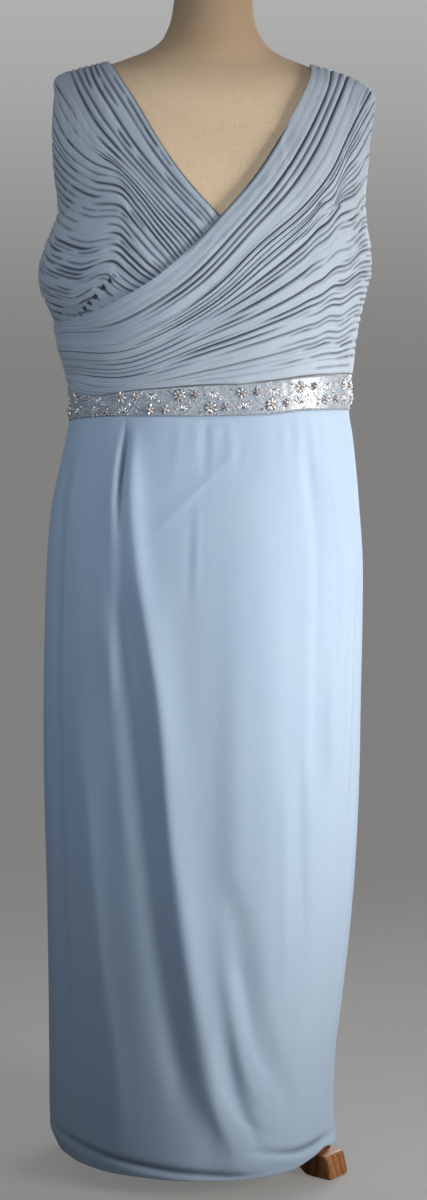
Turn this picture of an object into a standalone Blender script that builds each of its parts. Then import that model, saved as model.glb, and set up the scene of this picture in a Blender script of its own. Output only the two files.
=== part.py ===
"""A sleeveless evening gown on a limbless dress form with a wooden tripod stand.

Lengths are metres and +Z is up. The gown's front faces -Y, and +X is on the viewer's right.
Every cloth panel is a thin wall on one body surface. That surface is a stack of level
sections, and a place on it is an angle round the body and a height. The angle is 0 at the
centre front, 90 at the viewer's right side seam and -90 at the left one.
"""

import math
import random
from collections import namedtuple

import bmesh
import bpy
import numpy as np

# Where the dress form's axis stands, so that the origin is the centre of the whole footprint.
AXIS_X = 0.0100
AXIS_Y = -0.0085

# Cloth and seams
WALL = 0.0015
SEAM_GAP = 0.0003
WAIST_GAP = 0.0007
SIDE_SEAM_ANGLE = 89.93
CENTRE_GAP = 0.0007
LAYER = 0.0046
SIDE_LAYER = 0.0028
OVERLAP = 0.044
SIDE_OVERLAP = 0.020
PLEAT_HEIGHT = 0.0042
PLEAT_STEEPNESS = 0.42
CROWN_PLACE = 0.66

# Pleats and the mesh of each panel
UNDER_PLEATS = 24
UNDER_COLUMNS = 14
OVER_PLEATS = 30
OVER_COLUMNS = 18
BACK_PLEATS = 18
BACK_COLUMNS = 10
PLEATED_INNER_STEP = 2
MOST_BEND = 0.0010
SKIRT_COLUMNS = 40
SKIRT_BACK_COLUMNS = 28
BELT_WALL = 0.0020

# Raised flower heads along each half of the waistband
FLOWERS = 13
FLOWER_HEIGHT = 0.0026
FLOWER_SPREAD = 0.16
BELT_LEVELS = (0.0, 0.27, 0.5, 0.73, 1.0)
BELT_INNER_STEP = 4

# Dress form and stand
SHOULDER_CLEARANCE = 0.0018
BODY_CLEARANCE = 0.0028
FORM_BOTTOM = 0.700
FORM_COLUMNS = 24
POLE_RADIUS = 0.013
POLE_SIDES = 20
HUB_FLAT = 0.0255
HUB_BOTTOM = 0.118
HUB_TOP = 0.232
LEG_ANGLES = (-36.5, 83.5, 203.5)
# The stand's own axis, from the form's axis. Only its foot at the right shows below the hem.
STAND_X = 0.0200
STAND_Y = 0.0100

# Level sections of the body: half-widths left and right, depths ahead of and behind the axis,
# and how square the section is (2 is an ellipse).
Section = namedtuple("Section", "z left right front back square")
BODY = (
    Section(1.605, 0.0510, 0.0510, 0.0465, 0.0500, 2.0),
    Section(1.546, 0.0545, 0.0545, 0.0480, 0.0540, 2.0),
    Section(1.505, 0.0640, 0.0615, 0.0500, 0.0590, 2.0),
    Section(1.491, 0.0725, 0.0695, 0.0500, 0.0605, 1.9),
    Section(1.480, 0.0880, 0.0800, 0.0500, 0.0615, 1.8),
    Section(1.470, 0.1130, 0.0970, 0.0505, 0.0625, 1.72),
    Section(1.462, 0.1360, 0.1170, 0.0515, 0.0640, 1.72),
    Section(1.455, 0.1640, 0.1360, 0.0535, 0.0660, 1.76),
    Section(1.448, 0.1900, 0.1590, 0.0560, 0.0690, 1.85),
    Section(1.440, 0.2060, 0.1830, 0.0590, 0.0720, 2.0),
    Section(1.430, 0.2130, 0.2020, 0.0630, 0.0760, 2.25),
    Section(1.418, 0.2170, 0.2120, 0.0680, 0.0805, 2.5),
    Section(1.400, 0.2240, 0.2190, 0.0755, 0.0860, 2.75),
    Section(1.375, 0.2260, 0.2210, 0.0860, 0.0925, 2.95),
    Section(1.345, 0.2216, 0.2150, 0.0990, 0.0990, 3.0),
    Section(1.305, 0.2121, 0.2048, 0.1150, 0.1060, 3.0),
    Section(1.262, 0.2040, 0.1990, 0.1300, 0.1120, 2.8),
    Section(1.234, 0.2130, 0.2020, 0.1390, 0.1150, 2.65),
    Section(1.200, 0.2255, 0.2065, 0.1480, 0.1165, 2.5),
    Section(1.170, 0.2300, 0.2045, 0.1520, 0.1165, 2.4),
    Section(1.140, 0.2200, 0.1970, 0.1500, 0.1150, 2.35),
    Section(1.110, 0.2090, 0.1890, 0.1440, 0.1120, 2.3),
    Section(1.080, 0.2030, 0.1855, 0.1375, 0.1105, 2.3),
    Section(1.050, 0.1965, 0.1825, 0.1325, 0.1100, 2.3),
    Section(1.020, 0.1915, 0.1810, 0.1295, 0.1120, 2.3),
    Section(0.990, 0.1905, 0.1800, 0.1280, 0.1160, 2.3),
    Section(0.960, 0.1955, 0.1845, 0.1300, 0.1215, 2.3),
    Section(0.920, 0.2045, 0.1890, 0.1350, 0.1320, 2.3),
    Section(0.870, 0.2150, 0.1930, 0.1420, 0.1480, 2.3),
    Section(0.800, 0.2215, 0.1975, 0.1495, 0.1610, 2.25),
    Section(0.720, 0.2243, 0.1973, 0.1540, 0.1680, 2.2),
    Section(0.620, 0.2260, 0.1950, 0.1580, 0.1730, 2.15),
    Section(0.500, 0.2255, 0.1925, 0.1630, 0.1790, 2.1),
    Section(0.350, 0.2210, 0.1845, 0.1705, 0.1875, 2.05),
    Section(0.220, 0.2180, 0.1710, 0.1775, 0.1955, 2.0),
    Section(0.130, 0.2165, 0.1605, 0.1820, 0.2010, 2.0),
    Section(0.060, 0.2155, 0.1597, 0.1860, 0.2045, 2.0),
    Section(0.000, 0.2130, 0.1630, 0.1890, 0.2070, 2.0),
)

# The armholes: their top and bottom, and how far they reach ahead of and behind the side.
Armhole = namedtuple("Armhole", "top bottom reach")
LEFT_ARMHOLE = Armhole(1.434, 1.262, 0.052)
RIGHT_ARMHOLE = Armhole(1.421, 1.262, 0.052)
# 0.5 makes an armhole an ellipse, and more makes both its ends narrower.
ARMHOLE_ROUND = 0.68

# Waist seams, by angle round the body: the waistband's upper and lower edge.
WaistPoint = namedtuple("WaistPoint", "angle top bottom")
WAIST = (
    WaistPoint(-90.0, 1.0314, 0.981),
    WaistPoint(-61.0, 1.0190, 0.986),
    WaistPoint(-49.0, 1.0155, 0.988),
    WaistPoint(-40.0, 1.0180, 0.989),
    WaistPoint(-33.0, 1.0215, 0.989),
    WaistPoint(-18.0, 1.0255, 0.989),
    WaistPoint(-2.0, 1.0290, 0.989),
    WaistPoint(12.0, 1.0310, 0.990),
    WaistPoint(27.0, 1.0358, 0.993),
    WaistPoint(35.0, 1.0395, 0.996),
    WaistPoint(46.0, 1.0425, 0.997),
    WaistPoint(90.0, 1.0435, 0.997),
    WaistPoint(180.0, 1.0375, 0.989),
    WaistPoint(270.0, 1.0314, 0.981),
)

# Guide pleats run across a panel. Each has its place in the panel, from 0 at the first pleat to
# 1 at the last, and the points (x, z) that it passes. The points in one column of such a table lie
# on one line across the pleats, such as the line where the front is tacked. SIDE stands for the
# panel's own side edge: the shoulder seam, the armhole or the side seam at that height.
SIDE = 9.0
Guide = namedtuple("Guide", "place path")
UNDER_GUIDES = (
    Guide(0.00, ((-SIDE, 1.4610), (-0.120, 1.431), (-0.100, 1.399), (-0.072, 1.350),
                 (-0.042, 1.305), (-0.015, 1.272), (0.010, 1.245), (0.026, 1.229))),
    Guide(0.12, ((-SIDE, 1.4515), (-0.162, 1.416), (-0.143, 1.383), (-0.112, 1.338),
                 (-0.080, 1.299), (-0.047, 1.262), (-0.011, 1.223), (0.005, 1.206))),
    Guide(0.25, ((-SIDE, 1.4345), (-0.183, 1.386), (-0.163, 1.352), (-0.124, 1.317),
                 (-0.098, 1.290), (-0.066, 1.252), (-0.028, 1.210), (-0.013, 1.191))),
    Guide(0.35, ((-SIDE, 1.3850), (-0.190, 1.344), (-0.156, 1.313), (-0.119, 1.298),
                 (-0.096, 1.272), (-0.070, 1.238), (-0.038, 1.200), (-0.023, 1.181))),
    Guide(0.45, ((-SIDE, 1.3360), (-0.190, 1.309), (-0.156, 1.285), (-0.119, 1.276),
                 (-0.098, 1.251), (-0.074, 1.220), (-0.048, 1.189), (-0.033, 1.171))),
    Guide(0.54, ((-SIDE, 1.2880), (-0.190, 1.262), (-0.158, 1.245), (-0.120, 1.242),
                 (-0.101, 1.221), (-0.080, 1.197), (-0.059, 1.177), (-0.045, 1.158))),
    Guide(0.63, ((-SIDE, 1.2400), (-0.197, 1.216), (-0.165, 1.204), (-0.121, 1.207),
                 (-0.105, 1.192), (-0.088, 1.176), (-0.072, 1.165), (-0.058, 1.146))),
    Guide(0.73, ((-SIDE, 1.2060), (-0.205, 1.184), (-0.172, 1.174), (-0.126, 1.183),
                 (-0.113, 1.172), (-0.100, 1.162), (-0.087, 1.155), (-0.073, 1.137))),
    Guide(0.83, ((-SIDE, 1.1750), (-0.207, 1.157), (-0.178, 1.149), (-0.138, 1.161),
                 (-0.128, 1.152), (-0.117, 1.146), (-0.105, 1.141), (-0.090, 1.124))),
    Guide(0.92, ((-SIDE, 1.1430), (-0.201, 1.131), (-0.180, 1.126), (-0.153, 1.131),
                 (-0.144, 1.127), (-0.135, 1.124), (-0.126, 1.121), (-0.106, 1.112))),
    Guide(1.00, ((-SIDE, 1.0960), (-0.195, 1.098), (-0.180, 1.100), (-0.160, 1.103),
                 (-0.150, 1.105), (-0.140, 1.106), (-0.128, 1.107), (-0.108, 1.100))),
)
OVER_GUIDES = (
    Guide(0.00, ((SIDE, 1.4575), (0.1262, 1.430), (0.0918, 1.360), (0.0549, 1.300),
                 (0.0096, 1.245), (-0.0626, 1.174), (-0.1400, 1.130), (-SIDE, 1.1105))),
    Guide(0.13, ((SIDE, 1.4455), (0.1530, 1.405), (0.1253, 1.344), (0.0890, 1.285),
                 (0.0430, 1.231), (-0.0200, 1.165), (-0.1050, 1.112), (-SIDE, 1.0985))),
    Guide(0.27, ((SIDE, 1.4215), (0.1760, 1.356), (0.1499, 1.302), (0.1142, 1.257),
                 (0.0634, 1.212), (-0.0050, 1.147), (-0.1020, 1.093), (-SIDE, 1.0870))),
    Guide(0.40, ((SIDE, 1.3450), (0.1790, 1.306), (0.1540, 1.269), (0.1180, 1.228),
                 (0.0680, 1.184), (0.0060, 1.133), (-0.0960, 1.079), (-SIDE, 1.0755))),
    Guide(0.54, ((SIDE, 1.2620), (0.1760, 1.243), (0.1480, 1.221), (0.1090, 1.186),
                 (0.0620, 1.152), (0.0050, 1.118), (-0.0950, 1.068), (-SIDE, 1.0645))),
    Guide(0.66, ((SIDE, 1.2160), (0.1760, 1.195), (0.1450, 1.175), (0.1030, 1.147),
                 (0.0540, 1.121), (-0.0030, 1.096), (-0.0960, 1.056), (-SIDE, 1.0555))),
    Guide(0.78, ((SIDE, 1.1650), (0.1710, 1.148), (0.1380, 1.133), (0.0920, 1.112),
                 (0.0400, 1.092), (-0.0180, 1.072), (-0.0980, 1.045), (-SIDE, 1.0475))),
    Guide(0.90, ((SIDE, 1.1030), (0.1650, 1.093), (0.1310, 1.084), (0.0860, 1.072),
                 (0.0350, 1.060), (-0.0220, 1.047), (-0.0990, 1.032), (-SIDE, 1.0390))),
)
BACK_GUIDES = (
    Guide(0.00, ((SIDE, 1.4575), (0.112, 1.424), (0.082, 1.392), (0.045, 1.366), (0.020, 1.358),
                 (0.0, 1.356))),
    Guide(0.14, ((SIDE, 1.4450), (0.142, 1.395), (0.105, 1.360), (0.062, 1.334), (0.028, 1.323),
                 (0.0, 1.320))),
    Guide(0.28, ((SIDE, 1.4215), (0.161, 1.362), (0.120, 1.329), (0.073, 1.303), (0.032, 1.289),
                 (0.0, 1.285))),
    Guide(0.42, ((SIDE, 1.3450), (0.166, 1.304), (0.126, 1.279), (0.078, 1.257), (0.035, 1.245),
                 (0.0, 1.242))),
    Guide(0.55, ((SIDE, 1.2620), (0.160, 1.233), (0.120, 1.214), (0.076, 1.200), (0.034, 1.193),
                 (0.0, 1.191))),
    Guide(0.78, ((SIDE, 1.1500), (0.155, 1.132), (0.116, 1.120), (0.074, 1.112), (0.033, 1.107),
                 (0.0, 1.105))),
)
# Heights of the first back pleats on the left shoulder seam, which lies higher than the right one.
LEFT_SHOULDER = (1.4610, 1.4515, 1.4345)
# The last pleats settle onto the waist seam, from this place in the panel.
WAIST_ABOUT = 1.031
SETTLE_FROM = 0.84

# Skirt folds: how far they stand out (a trough is negative), half their width, and the path from
# top to bottom as (angle, z).
Fold = namedtuple("Fold", "height half_width path")
FRONT_FOLDS = (
    Fold(-0.0035, 0.009, ((-35.0, 0.990), (-33.0, 0.930), (-31.0, 0.850))),
    Fold(0.0085, 0.021, ((-33.0, 0.950), (-27.0, 0.806), (-21.0, 0.690), (-16.0, 0.560),
                         (-12.0, 0.374), (-6.0, 0.240), (0.0, 0.130), (9.0, 0.020))),
    Fold(-0.0070, 0.017, ((-31.0, 0.760), (-26.0, 0.640), (-22.0, 0.500), (-18.0, 0.330),
                          (-13.0, 0.200), (-8.0, 0.110))),
    Fold(0.0030, 0.013, ((-38.0, 0.940), (-37.0, 0.760), (-36.0, 0.620))),
    Fold(0.0045, 0.016, ((50.0, 0.940), (56.0, 0.780), (55.0, 0.640), (54.0, 0.500))),
    Fold(-0.0035, 0.014, ((43.0, 0.930), (48.0, 0.760), (46.0, 0.600), (45.0, 0.480))),
    Fold(-0.0040, 0.018, ((-62.0, 0.900), (-63.0, 0.600), (-62.0, 0.300), (-60.0, 0.120))),
    Fold(0.0030, 0.016, ((-50.0, 0.620), (-46.0, 0.350), (-42.0, 0.100))),
    Fold(-0.0040, 0.018, ((5.0, 0.400), (14.0, 0.280), (24.0, 0.180), (38.0, 0.100))),
    Fold(-0.0050, 0.012, ((4.0, 0.210), (12.0, 0.120), (22.0, 0.060))),
    Fold(0.0035, 0.016, ((72.0, 0.500), (70.0, 0.300), (66.0, 0.120))),
)
BACK_FOLDS = (
    Fold(0.0050, 0.020, ((150.0, 0.930), (154.0, 0.700), (158.0, 0.450), (161.0, 0.020))),
    Fold(-0.0045, 0.016, ((164.0, 0.780), (170.0, 0.500), (176.0, 0.200))),
    Fold(0.0045, 0.018, ((208.0, 0.900), (204.0, 0.650), (198.0, 0.350), (194.0, 0.020))),
    Fold(-0.0040, 0.017, ((222.0, 0.800), (220.0, 0.500), (214.0, 0.150))),
    Fold(0.0035, 0.018, ((126.0, 0.860), (124.0, 0.500), (122.0, 0.100))),
    Fold(-0.0030, 0.016, ((242.0, 0.700), (244.0, 0.400), (243.0, 0.100))),
)

# The skirt's soft gathers below the waistband.
GATHER_HEIGHT = 0.0016
GATHERS_FADE_BELOW = 0.900

# Rows of the skirt's mesh, from the hem to the waist.
SKIRT_LEVELS = (0.0, 0.012, 0.028, 0.045, 0.10, 0.18, 0.27, 0.36, 0.45, 0.54, 0.63, 0.72, 0.80,
                0.87, 0.93, 0.97, 1.0)

# Hem heights, and the front corner that rides up over the stand's foot.
HEM = 0.0235
HEM_OVER_FOOT = 0.0135
FOOT_ANGLE = 61.0
FOOT_ARC = 15.0
HEM_ROLL = 0.0035

# One stand leg, from the hub outward.
LegStation = namedtuple("LegStation", "reach bottom top half_width lean")
LEG = (
    LegStation(0.0258, 0.140, 0.205, 0.0110, 0.0),
    LegStation(0.0450, 0.134, 0.194, 0.0120, 0.0),
    LegStation(0.0690, 0.103, 0.166, 0.0135, 0.0),
    LegStation(0.0910, 0.066, 0.124, 0.0150, 0.0),
    LegStation(0.1090, 0.036, 0.086, 0.0165, 0.0),
    LegStation(0.1240, 0.012, 0.056, 0.0180, 0.0),
    LegStation(0.1360, 0.002, 0.038, 0.0190, 0.0),
    LegStation(0.1480, 0.000, 0.032, 0.0200, 0.05),
    LegStation(0.1700, 0.000, 0.030, 0.0205, 0.20),
    LegStation(0.1765, 0.000, 0.0295, 0.0205, 0.25),
    LegStation(0.1785, 0.0015, 0.0280, 0.0192, 0.25),
)


def smooth(xs, ys, at):
    """A smooth curve through the points (xs, ys), read at the places given."""
    xs = np.asarray(xs, float)
    ys = np.asarray(ys, float)
    slopes = np.gradient(ys, xs)
    at = np.clip(at, xs[0], xs[-1])
    cell = np.clip(np.searchsorted(xs, at) - 1, 0, len(xs) - 2)
    width = xs[cell + 1] - xs[cell]
    part = (at - xs[cell]) / width
    square = part * part
    cube = square * part
    return (
        (2 * cube - 3 * square + 1) * ys[cell]
        + (cube - 2 * square + part) * width * slopes[cell]
        + (3 * square - 2 * cube) * ys[cell + 1]
        + (cube - square) * width * slopes[cell + 1]
    )


def smooth_step(low, high, value):
    part = np.clip((value - low) / (high - low), 0.0, 1.0)
    return part * part * (3 - 2 * part)


def section(column, z):
    rows = BODY[::-1]
    return smooth([row.z for row in rows], [getattr(row, column) for row in rows], z)


def body_point(angle, z):
    """Points of the body surface at the angles and heights given, before any cloth."""
    turn = np.radians(angle)
    across = np.sin(turn)
    ahead = np.cos(turn)
    half_width = np.where(across < 0, section("left", z), section("right", z))
    depth = np.where(ahead > 0, section("front", z), section("back", z))
    square = section("square", z)
    scale = (np.abs(across) ** square + np.abs(ahead) ** square) ** (-1.0 / square)
    return np.stack([scale * half_width * across, -scale * depth * ahead, z + 0.0 * scale], axis=-1)


def body_normal(angle, z):
    turn_step = 0.6
    rise_step = 0.0015
    along = body_point(angle + turn_step, z) - body_point(angle - turn_step, z)
    up = body_point(angle, z + rise_step) - body_point(angle, z - rise_step)
    normal = np.cross(along, up)
    return normal / np.linalg.norm(normal, axis=-1, keepdims=True)


def raised(angle, z, height):
    """The body surface moved out by the height along its own normal."""
    return body_point(angle, z) + body_normal(angle, z) * np.asarray(height)[..., None]


def side_angle(z, is_left, is_back):
    """How far a panel reaches round from its centre line at a height: 90 at the side seam, less
    along an armhole."""
    z = np.asarray(z, float)
    left, right = LEFT_ARMHOLE, RIGHT_ARMHOLE
    top = np.where(is_left, left.top, right.top)
    bottom = np.where(is_left, left.bottom, right.bottom)
    reach = np.where(is_left, left.reach, right.reach)
    off_middle = (2 * z - top - bottom) / (top - bottom)
    opening = reach * np.clip(1 - off_middle**2, 0, 1) ** ARMHOLE_ROUND
    depth = section("back" if is_back else "front", z)
    square = section("square", z)
    share = np.clip(opening / depth, 0, 0.95)
    across = (1 - share**square) ** (1 / square)
    return np.degrees(np.arctan2(across, share))


def panel_angle(u, z, is_back):
    """The angle at a panel place u, from -1 at the left side edge to 1 at the right one."""
    turned = u * side_angle(z, u < 0, is_back)
    return 180.0 - turned if is_back else turned


def panel_place(x, z, is_back):
    """The panel place u of the points x across the body."""
    x = np.asarray(x, float)
    half_width = np.where(x < 0, section("left", z), section("right", z))
    square = section("square", z)
    share = np.minimum(np.abs(x) / half_width, 1 - 1e-12)
    turned = np.degrees(np.arctan((share**square / (1 - share**square)) ** (1 / square)))
    return np.copysign(np.minimum(turned / side_angle(z, x < 0, is_back), 1.0), x)


def side_edge(z, side, is_back):
    """How far across the body a panel's side edge lies, at the heights given."""
    u = np.full_like(np.asarray(z, float), side)
    return body_point(panel_angle(u, z, is_back), z)[..., 0]


def columns_of(count, crowding=0.6):
    """Places from 0 to 1, closer together at both ends."""
    even = np.linspace(0, 1, count + 1)
    return (1 - crowding) * even + crowding * (1 - np.cos(np.pi * even)) / 2


def follow(x, z, places, is_back):
    """Panel places and heights along the pleat through the points given, at shares of its length."""
    knots = body_point(panel_angle(panel_place(x, z, is_back), z, is_back), z)
    run = np.concatenate([[0], np.cumsum(np.linalg.norm(np.diff(knots, axis=0), axis=1))])
    fine = np.linspace(0, run[-1], 300)
    fine_z = smooth(run, z, fine)
    fine_u = panel_place(smooth(run, x, fine), fine_z, is_back)
    trace = body_point(panel_angle(fine_u, fine_z, is_back), fine_z)
    length = np.concatenate([[0], np.cumsum(np.linalg.norm(np.diff(trace, axis=0), axis=1))])
    at = np.interp(places * length[-1], length, fine)
    return np.interp(at, fine, fine_u), np.interp(at, fine, fine_z)


def pleat_rows(pleats, seed):
    """Places of the valleys and crowns, two rows for each pleat, unevenly spaced."""
    draw = random.Random(seed)
    valleys = [0.0]
    valleys += [(i + draw.uniform(-0.16, 0.16)) / pleats for i in range(1, pleats)]
    valleys.append(1.0)
    rows = []
    for low, high in zip(valleys, valleys[1:]):
        rows += [low, low + CROWN_PLACE * (high - low)]
    rows.append(1.0)
    return np.array(rows)


def spread(guides, rows, columns, is_back):
    """Grids of panel place and height: one row for each pleat row, between the guide pleats."""
    places = [guide.place for guide in guides]
    across = []
    heights = []
    for line in range(len(guides[0].path)):
        x = np.array([guide.path[line][0] for guide in guides])
        z = smooth(places, [guide.path[line][1] for guide in guides], rows)
        heights.append(z)
        if abs(x[0]) >= SIDE:
            across.append(side_edge(z, math.copysign(1.0, x[0]), is_back))
        else:
            across.append(smooth(places, x, rows))
    traces = [
        follow(x, z, columns, is_back) for x, z in zip(np.transpose(across), np.transpose(heights))
    ]
    return np.array([u for u, _ in traces]), np.array([z for _, z in traces])


def pleat_relief(points, seed):
    """Heights of the outer points: nothing in a valley, and a crown as wide pleats allow."""
    draw = random.Random(seed)
    relief = np.zeros(points.shape[:2])
    columns = np.linspace(0, 1, points.shape[1])
    held = 0.45 + 0.55 * smooth_step(0.0, 0.06, columns) * smooth_step(1.0, 0.94, columns)
    for crown in range(1, points.shape[0] - 1, 2):
        width = np.linalg.norm(points[crown + 1] - points[crown - 1], axis=1)
        wave = 0.86 + 0.14 * np.sin(2 * math.pi * (draw.uniform(1.0, 2.2) * columns + draw.random()))
        share = draw.uniform(0.72, 1.0)
        relief[crown] = np.minimum(PLEAT_HEIGHT, PLEAT_STEEPNESS * width) * wave * share * held
    return relief


def waist(column, angle):
    return smooth([row.angle for row in WAIST], [getattr(row, column) for row in WAIST], angle)


def waist_guide(guides):
    """A last guide pleat under the one before it, roughly where the waistband's upper edge is."""
    return Guide(1.0, tuple((x, WAIST_ABOUT) for x, _ in guides[-1].path))


def settle_on_waist(u, z, rows, is_back):
    """Heights of the rows near a bodice panel's lower edge, moved so that the last lies on the seam."""
    last = waist("top", panel_angle(u[-1], z[-1], is_back)) + WAIST_GAP
    return z + (last - z[-1]) * smooth_step(SETTLE_FROM, 1.0, rows)[:, None]


def make_solid(name, points, faces, material):
    mesh = bpy.data.meshes.new(name)
    placed = np.asarray(points) + np.array([AXIS_X, AXIS_Y, 0.0])
    mesh.from_pydata([tuple(point) for point in placed], [], faces)
    work = bmesh.new()
    work.from_mesh(mesh)
    bmesh.ops.recalc_face_normals(work, faces=work.faces)
    if work.calc_volume(signed=True) < 0:
        bmesh.ops.reverse_faces(work, faces=work.faces)
    work.to_mesh(mesh)
    work.free()
    mesh.materials.append(material)
    mesh.shade_smooth()
    mesh.set_sharp_from_angle(angle=math.radians(50))
    solid = bpy.data.objects.new(name, mesh)
    bpy.context.scene.collection.objects.link(solid)
    return solid


def inner_rows(points, step):
    """The rows that a plain inside needs: one in every few, and each that bends away from its
    neighbours by more than the wall allows."""
    kept = [0]
    for row in range(1, len(points) - 1):
        chord = points[row + 1] - points[row - 1]
        off = np.cross(points[row] - points[row - 1], chord)
        bend = np.linalg.norm(off, axis=1) / np.maximum(np.linalg.norm(chord, axis=1), 1e-6)
        if row % step == 0 or bend.max() > MOST_BEND:
            kept.append(row)
    return kept + [len(points) - 1]


def make_wall(name, angle, z, lift, relief, thickness, inner_step, material):
    """A closed wall on the body surface. The outer points carry the relief over a plain inside."""
    rows, columns = angle.shape
    outer = raised(angle, z, lift + thickness + relief).reshape(-1, 3)
    inside = raised(angle, z, lift)
    kept = inner_rows(inside, inner_step)
    inner = inside[kept].reshape(-1, 3)
    base = len(outer)
    faces = []
    for r in range(rows - 1):
        for c in range(columns - 1):
            a = r * columns + c
            faces.append((a, a + 1, a + columns + 1, a + columns))
    for q in range(len(kept) - 1):
        for c in range(columns - 1):
            a = base + q * columns + c
            faces.append((a, a + columns, a + columns + 1, a + 1))
    for outer_row, inner_row in ((0, 0), (rows - 1, len(kept) - 1)):
        for c in range(columns - 1):
            a = outer_row * columns + c
            b = base + inner_row * columns + c
            faces.append((a, a + 1, b + 1, b))
    for c in (0, columns - 1):
        for q, (low, high) in enumerate(zip(kept, kept[1:])):
            near = base + q * columns + c
            far = near + columns
            half = low + (high - low + 1) // 2
            for row in range(low, high):
                a = row * columns + c
                faces.append((a, a + columns, near if row < half else far))
            faces.append((near, half * columns + c, far))
    return make_solid(name, np.concatenate([outer, inner]), faces, material)


def keep_seam_gap(u, z, is_back):
    """Panel places drawn in a little, so that two panels leave the seam's gap between them."""
    depth = section("back" if is_back else "front", z)
    limit = 1 - np.degrees(SEAM_GAP / 2 / depth) / 90.0
    return np.clip(u, -limit, limit)


def wrap_edge(u):
    """Height of the upper wrap's edge at a front place u, from the side seam to the shoulder."""
    edge_u, edge_z = spread(OVER_GUIDES, np.zeros(1), np.linspace(0, 1, 160), False)
    return np.interp(u, edge_u[0, ::-1], edge_z[0, ::-1])


def make_bodice_under(material):
    u, z = spread(UNDER_GUIDES, pleat_rows(UNDER_PLEATS, 11), columns_of(UNDER_COLUMNS), False)
    u = keep_seam_gap(u, z, False)
    angle = panel_angle(u, z, False)
    relief = pleat_relief(body_point(angle, z), 12)
    shown = smooth_step(0.0, 0.030, z - wrap_edge(u))
    relief *= 0.20 + 0.80 * shown
    return make_wall("bodice_under", angle, z, np.zeros_like(z), relief, WALL, PLEATED_INNER_STEP, material)


def make_bodice_over(material):
    guides = OVER_GUIDES + (waist_guide(OVER_GUIDES),)
    rows = pleat_rows(OVER_PLEATS, 21)
    u, z = spread(guides, rows, columns_of(OVER_COLUMNS), False)
    z = settle_on_waist(u, z, rows, False)
    u = keep_seam_gap(u, z, False)
    angle = panel_angle(u, z, False)
    relief = pleat_relief(body_point(angle, z), 22)
    below_edge = wrap_edge(u) - z
    inward = smooth_step(-1.0, -0.80, u)
    layer = SIDE_LAYER + (LAYER - SIDE_LAYER) * inward
    overlap = SIDE_OVERLAP + (OVERLAP - SIDE_OVERLAP) * inward
    lift = layer * smooth_step(overlap + 0.036, overlap, below_edge) * smooth_step(0.62, 0.30, u)
    return make_wall("bodice_over", angle, z, lift, relief, WALL, PLEATED_INNER_STEP, material)


def make_bodice_back(name, side, material):
    guides = []
    for index, guide in enumerate(BACK_GUIDES):
        path = [(side * x, z) for x, z in guide.path]
        if side < 0 and index < len(LEFT_SHOULDER):
            path[0] = (-SIDE, LEFT_SHOULDER[index])
        guides.append(Guide(guide.place, tuple(path)))
    guides.append(waist_guide(guides))
    rows = pleat_rows(BACK_PLEATS, 31)
    u, z = spread(guides, rows, columns_of(BACK_COLUMNS), True)
    z = settle_on_waist(u, z, rows, True)
    u = keep_seam_gap(u, z, True)
    u = side * np.maximum(side * u, CENTRE_GAP)
    angle = panel_angle(u, z, True)
    relief = pleat_relief(body_point(angle, z), 32)
    return make_wall(name, angle, z, np.zeros_like(z), relief, WALL, PLEATED_INNER_STEP, material)


def make_waistband(name, is_back, material):
    pitch = 2.0 / FLOWERS
    turned = [-1.0]
    for flower in range(FLOWERS):
        middle = -1.0 + (flower + 0.5) * pitch
        turned += [middle + share * pitch for share in (-FLOWER_SPREAD, 0.0, FLOWER_SPREAD, 0.5)]
    turned = np.array(turned) * SIDE_SEAM_ANGLE
    across = 180.0 - turned if is_back else turned
    levels = np.array(BELT_LEVELS)
    angle = np.broadcast_to(across, (len(levels), len(across))).copy()
    low = waist("bottom", angle) + SEAM_GAP / 2
    high = waist("top", angle) - SEAM_GAP / 2
    z = low + levels[:, None] * (high - low)
    relief = np.zeros_like(z)
    for flower in range(FLOWERS):
        relief[3 if flower % 2 else 1, 4 * flower + 2] = FLOWER_HEIGHT
    lift = np.full_like(z, 0.0004)
    return make_wall(name, angle, z, lift, relief, BELT_WALL, BELT_INNER_STEP, material)


def fold_relief(folds, angle, z):
    """The sum of all folds at the places given. A fold fades out over its last tenth of a metre."""
    total = np.zeros_like(z)
    around = math.radians(1.0) * 0.19
    for fold in folds:
        angles = [point[0] for point in fold.path][::-1]
        heights = [point[1] for point in fold.path][::-1]
        off = (angle - smooth(heights, angles, z)) * around
        fade = smooth_step(heights[-1] + 0.03, heights[-1] - 0.06, z)
        if heights[0] > 0.05:
            fade = fade * smooth_step(heights[0] - 0.03, heights[0] + 0.08, z)
        total += fold.height * fade * np.exp(-((off / fold.half_width) ** 2))
    return total


def make_skirt(name, is_back, columns, folds, material):
    turned = np.linspace(-1, 1, columns + 1) * SIDE_SEAM_ANGLE
    across = 180.0 - turned if is_back else turned
    levels = np.array(SKIRT_LEVELS)
    angle = np.broadcast_to(across, (len(levels), len(across))).copy()
    hem = HEM + HEM_OVER_FOOT * np.exp(-(((across - FOOT_ANGLE) / FOOT_ARC) ** 2))
    top = waist("bottom", across) - SEAM_GAP / 2
    z = hem + levels[:, None] * (top - hem)
    lift = fold_relief(folds, angle, z)
    gathers = np.sin(np.radians(angle) * 26) * (0.6 + 0.4 * np.sin(np.radians(angle) * 7 + 1.0))
    lift += GATHER_HEIGHT * gathers * smooth_step(GATHERS_FADE_BELOW, 0.97, z)
    roll = np.exp(-(((z - hem) / 0.012) ** 2)) - np.exp(-(((z - hem - 0.034) / 0.014) ** 2))
    lift += HEM_ROLL * roll
    lift *= smooth_step(0.0, 0.03, np.abs(top - z))
    lift *= smooth_step(0.0, 4.0, 90.0 - np.abs(turned))
    return make_wall(name, angle, z, lift, np.zeros_like(z), WALL, 1, material)


def clearance(z):
    return SHOULDER_CLEARANCE + (BODY_CLEARANCE - SHOULDER_CLEARANCE) * smooth_step(1.43, 1.39, z)


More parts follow.
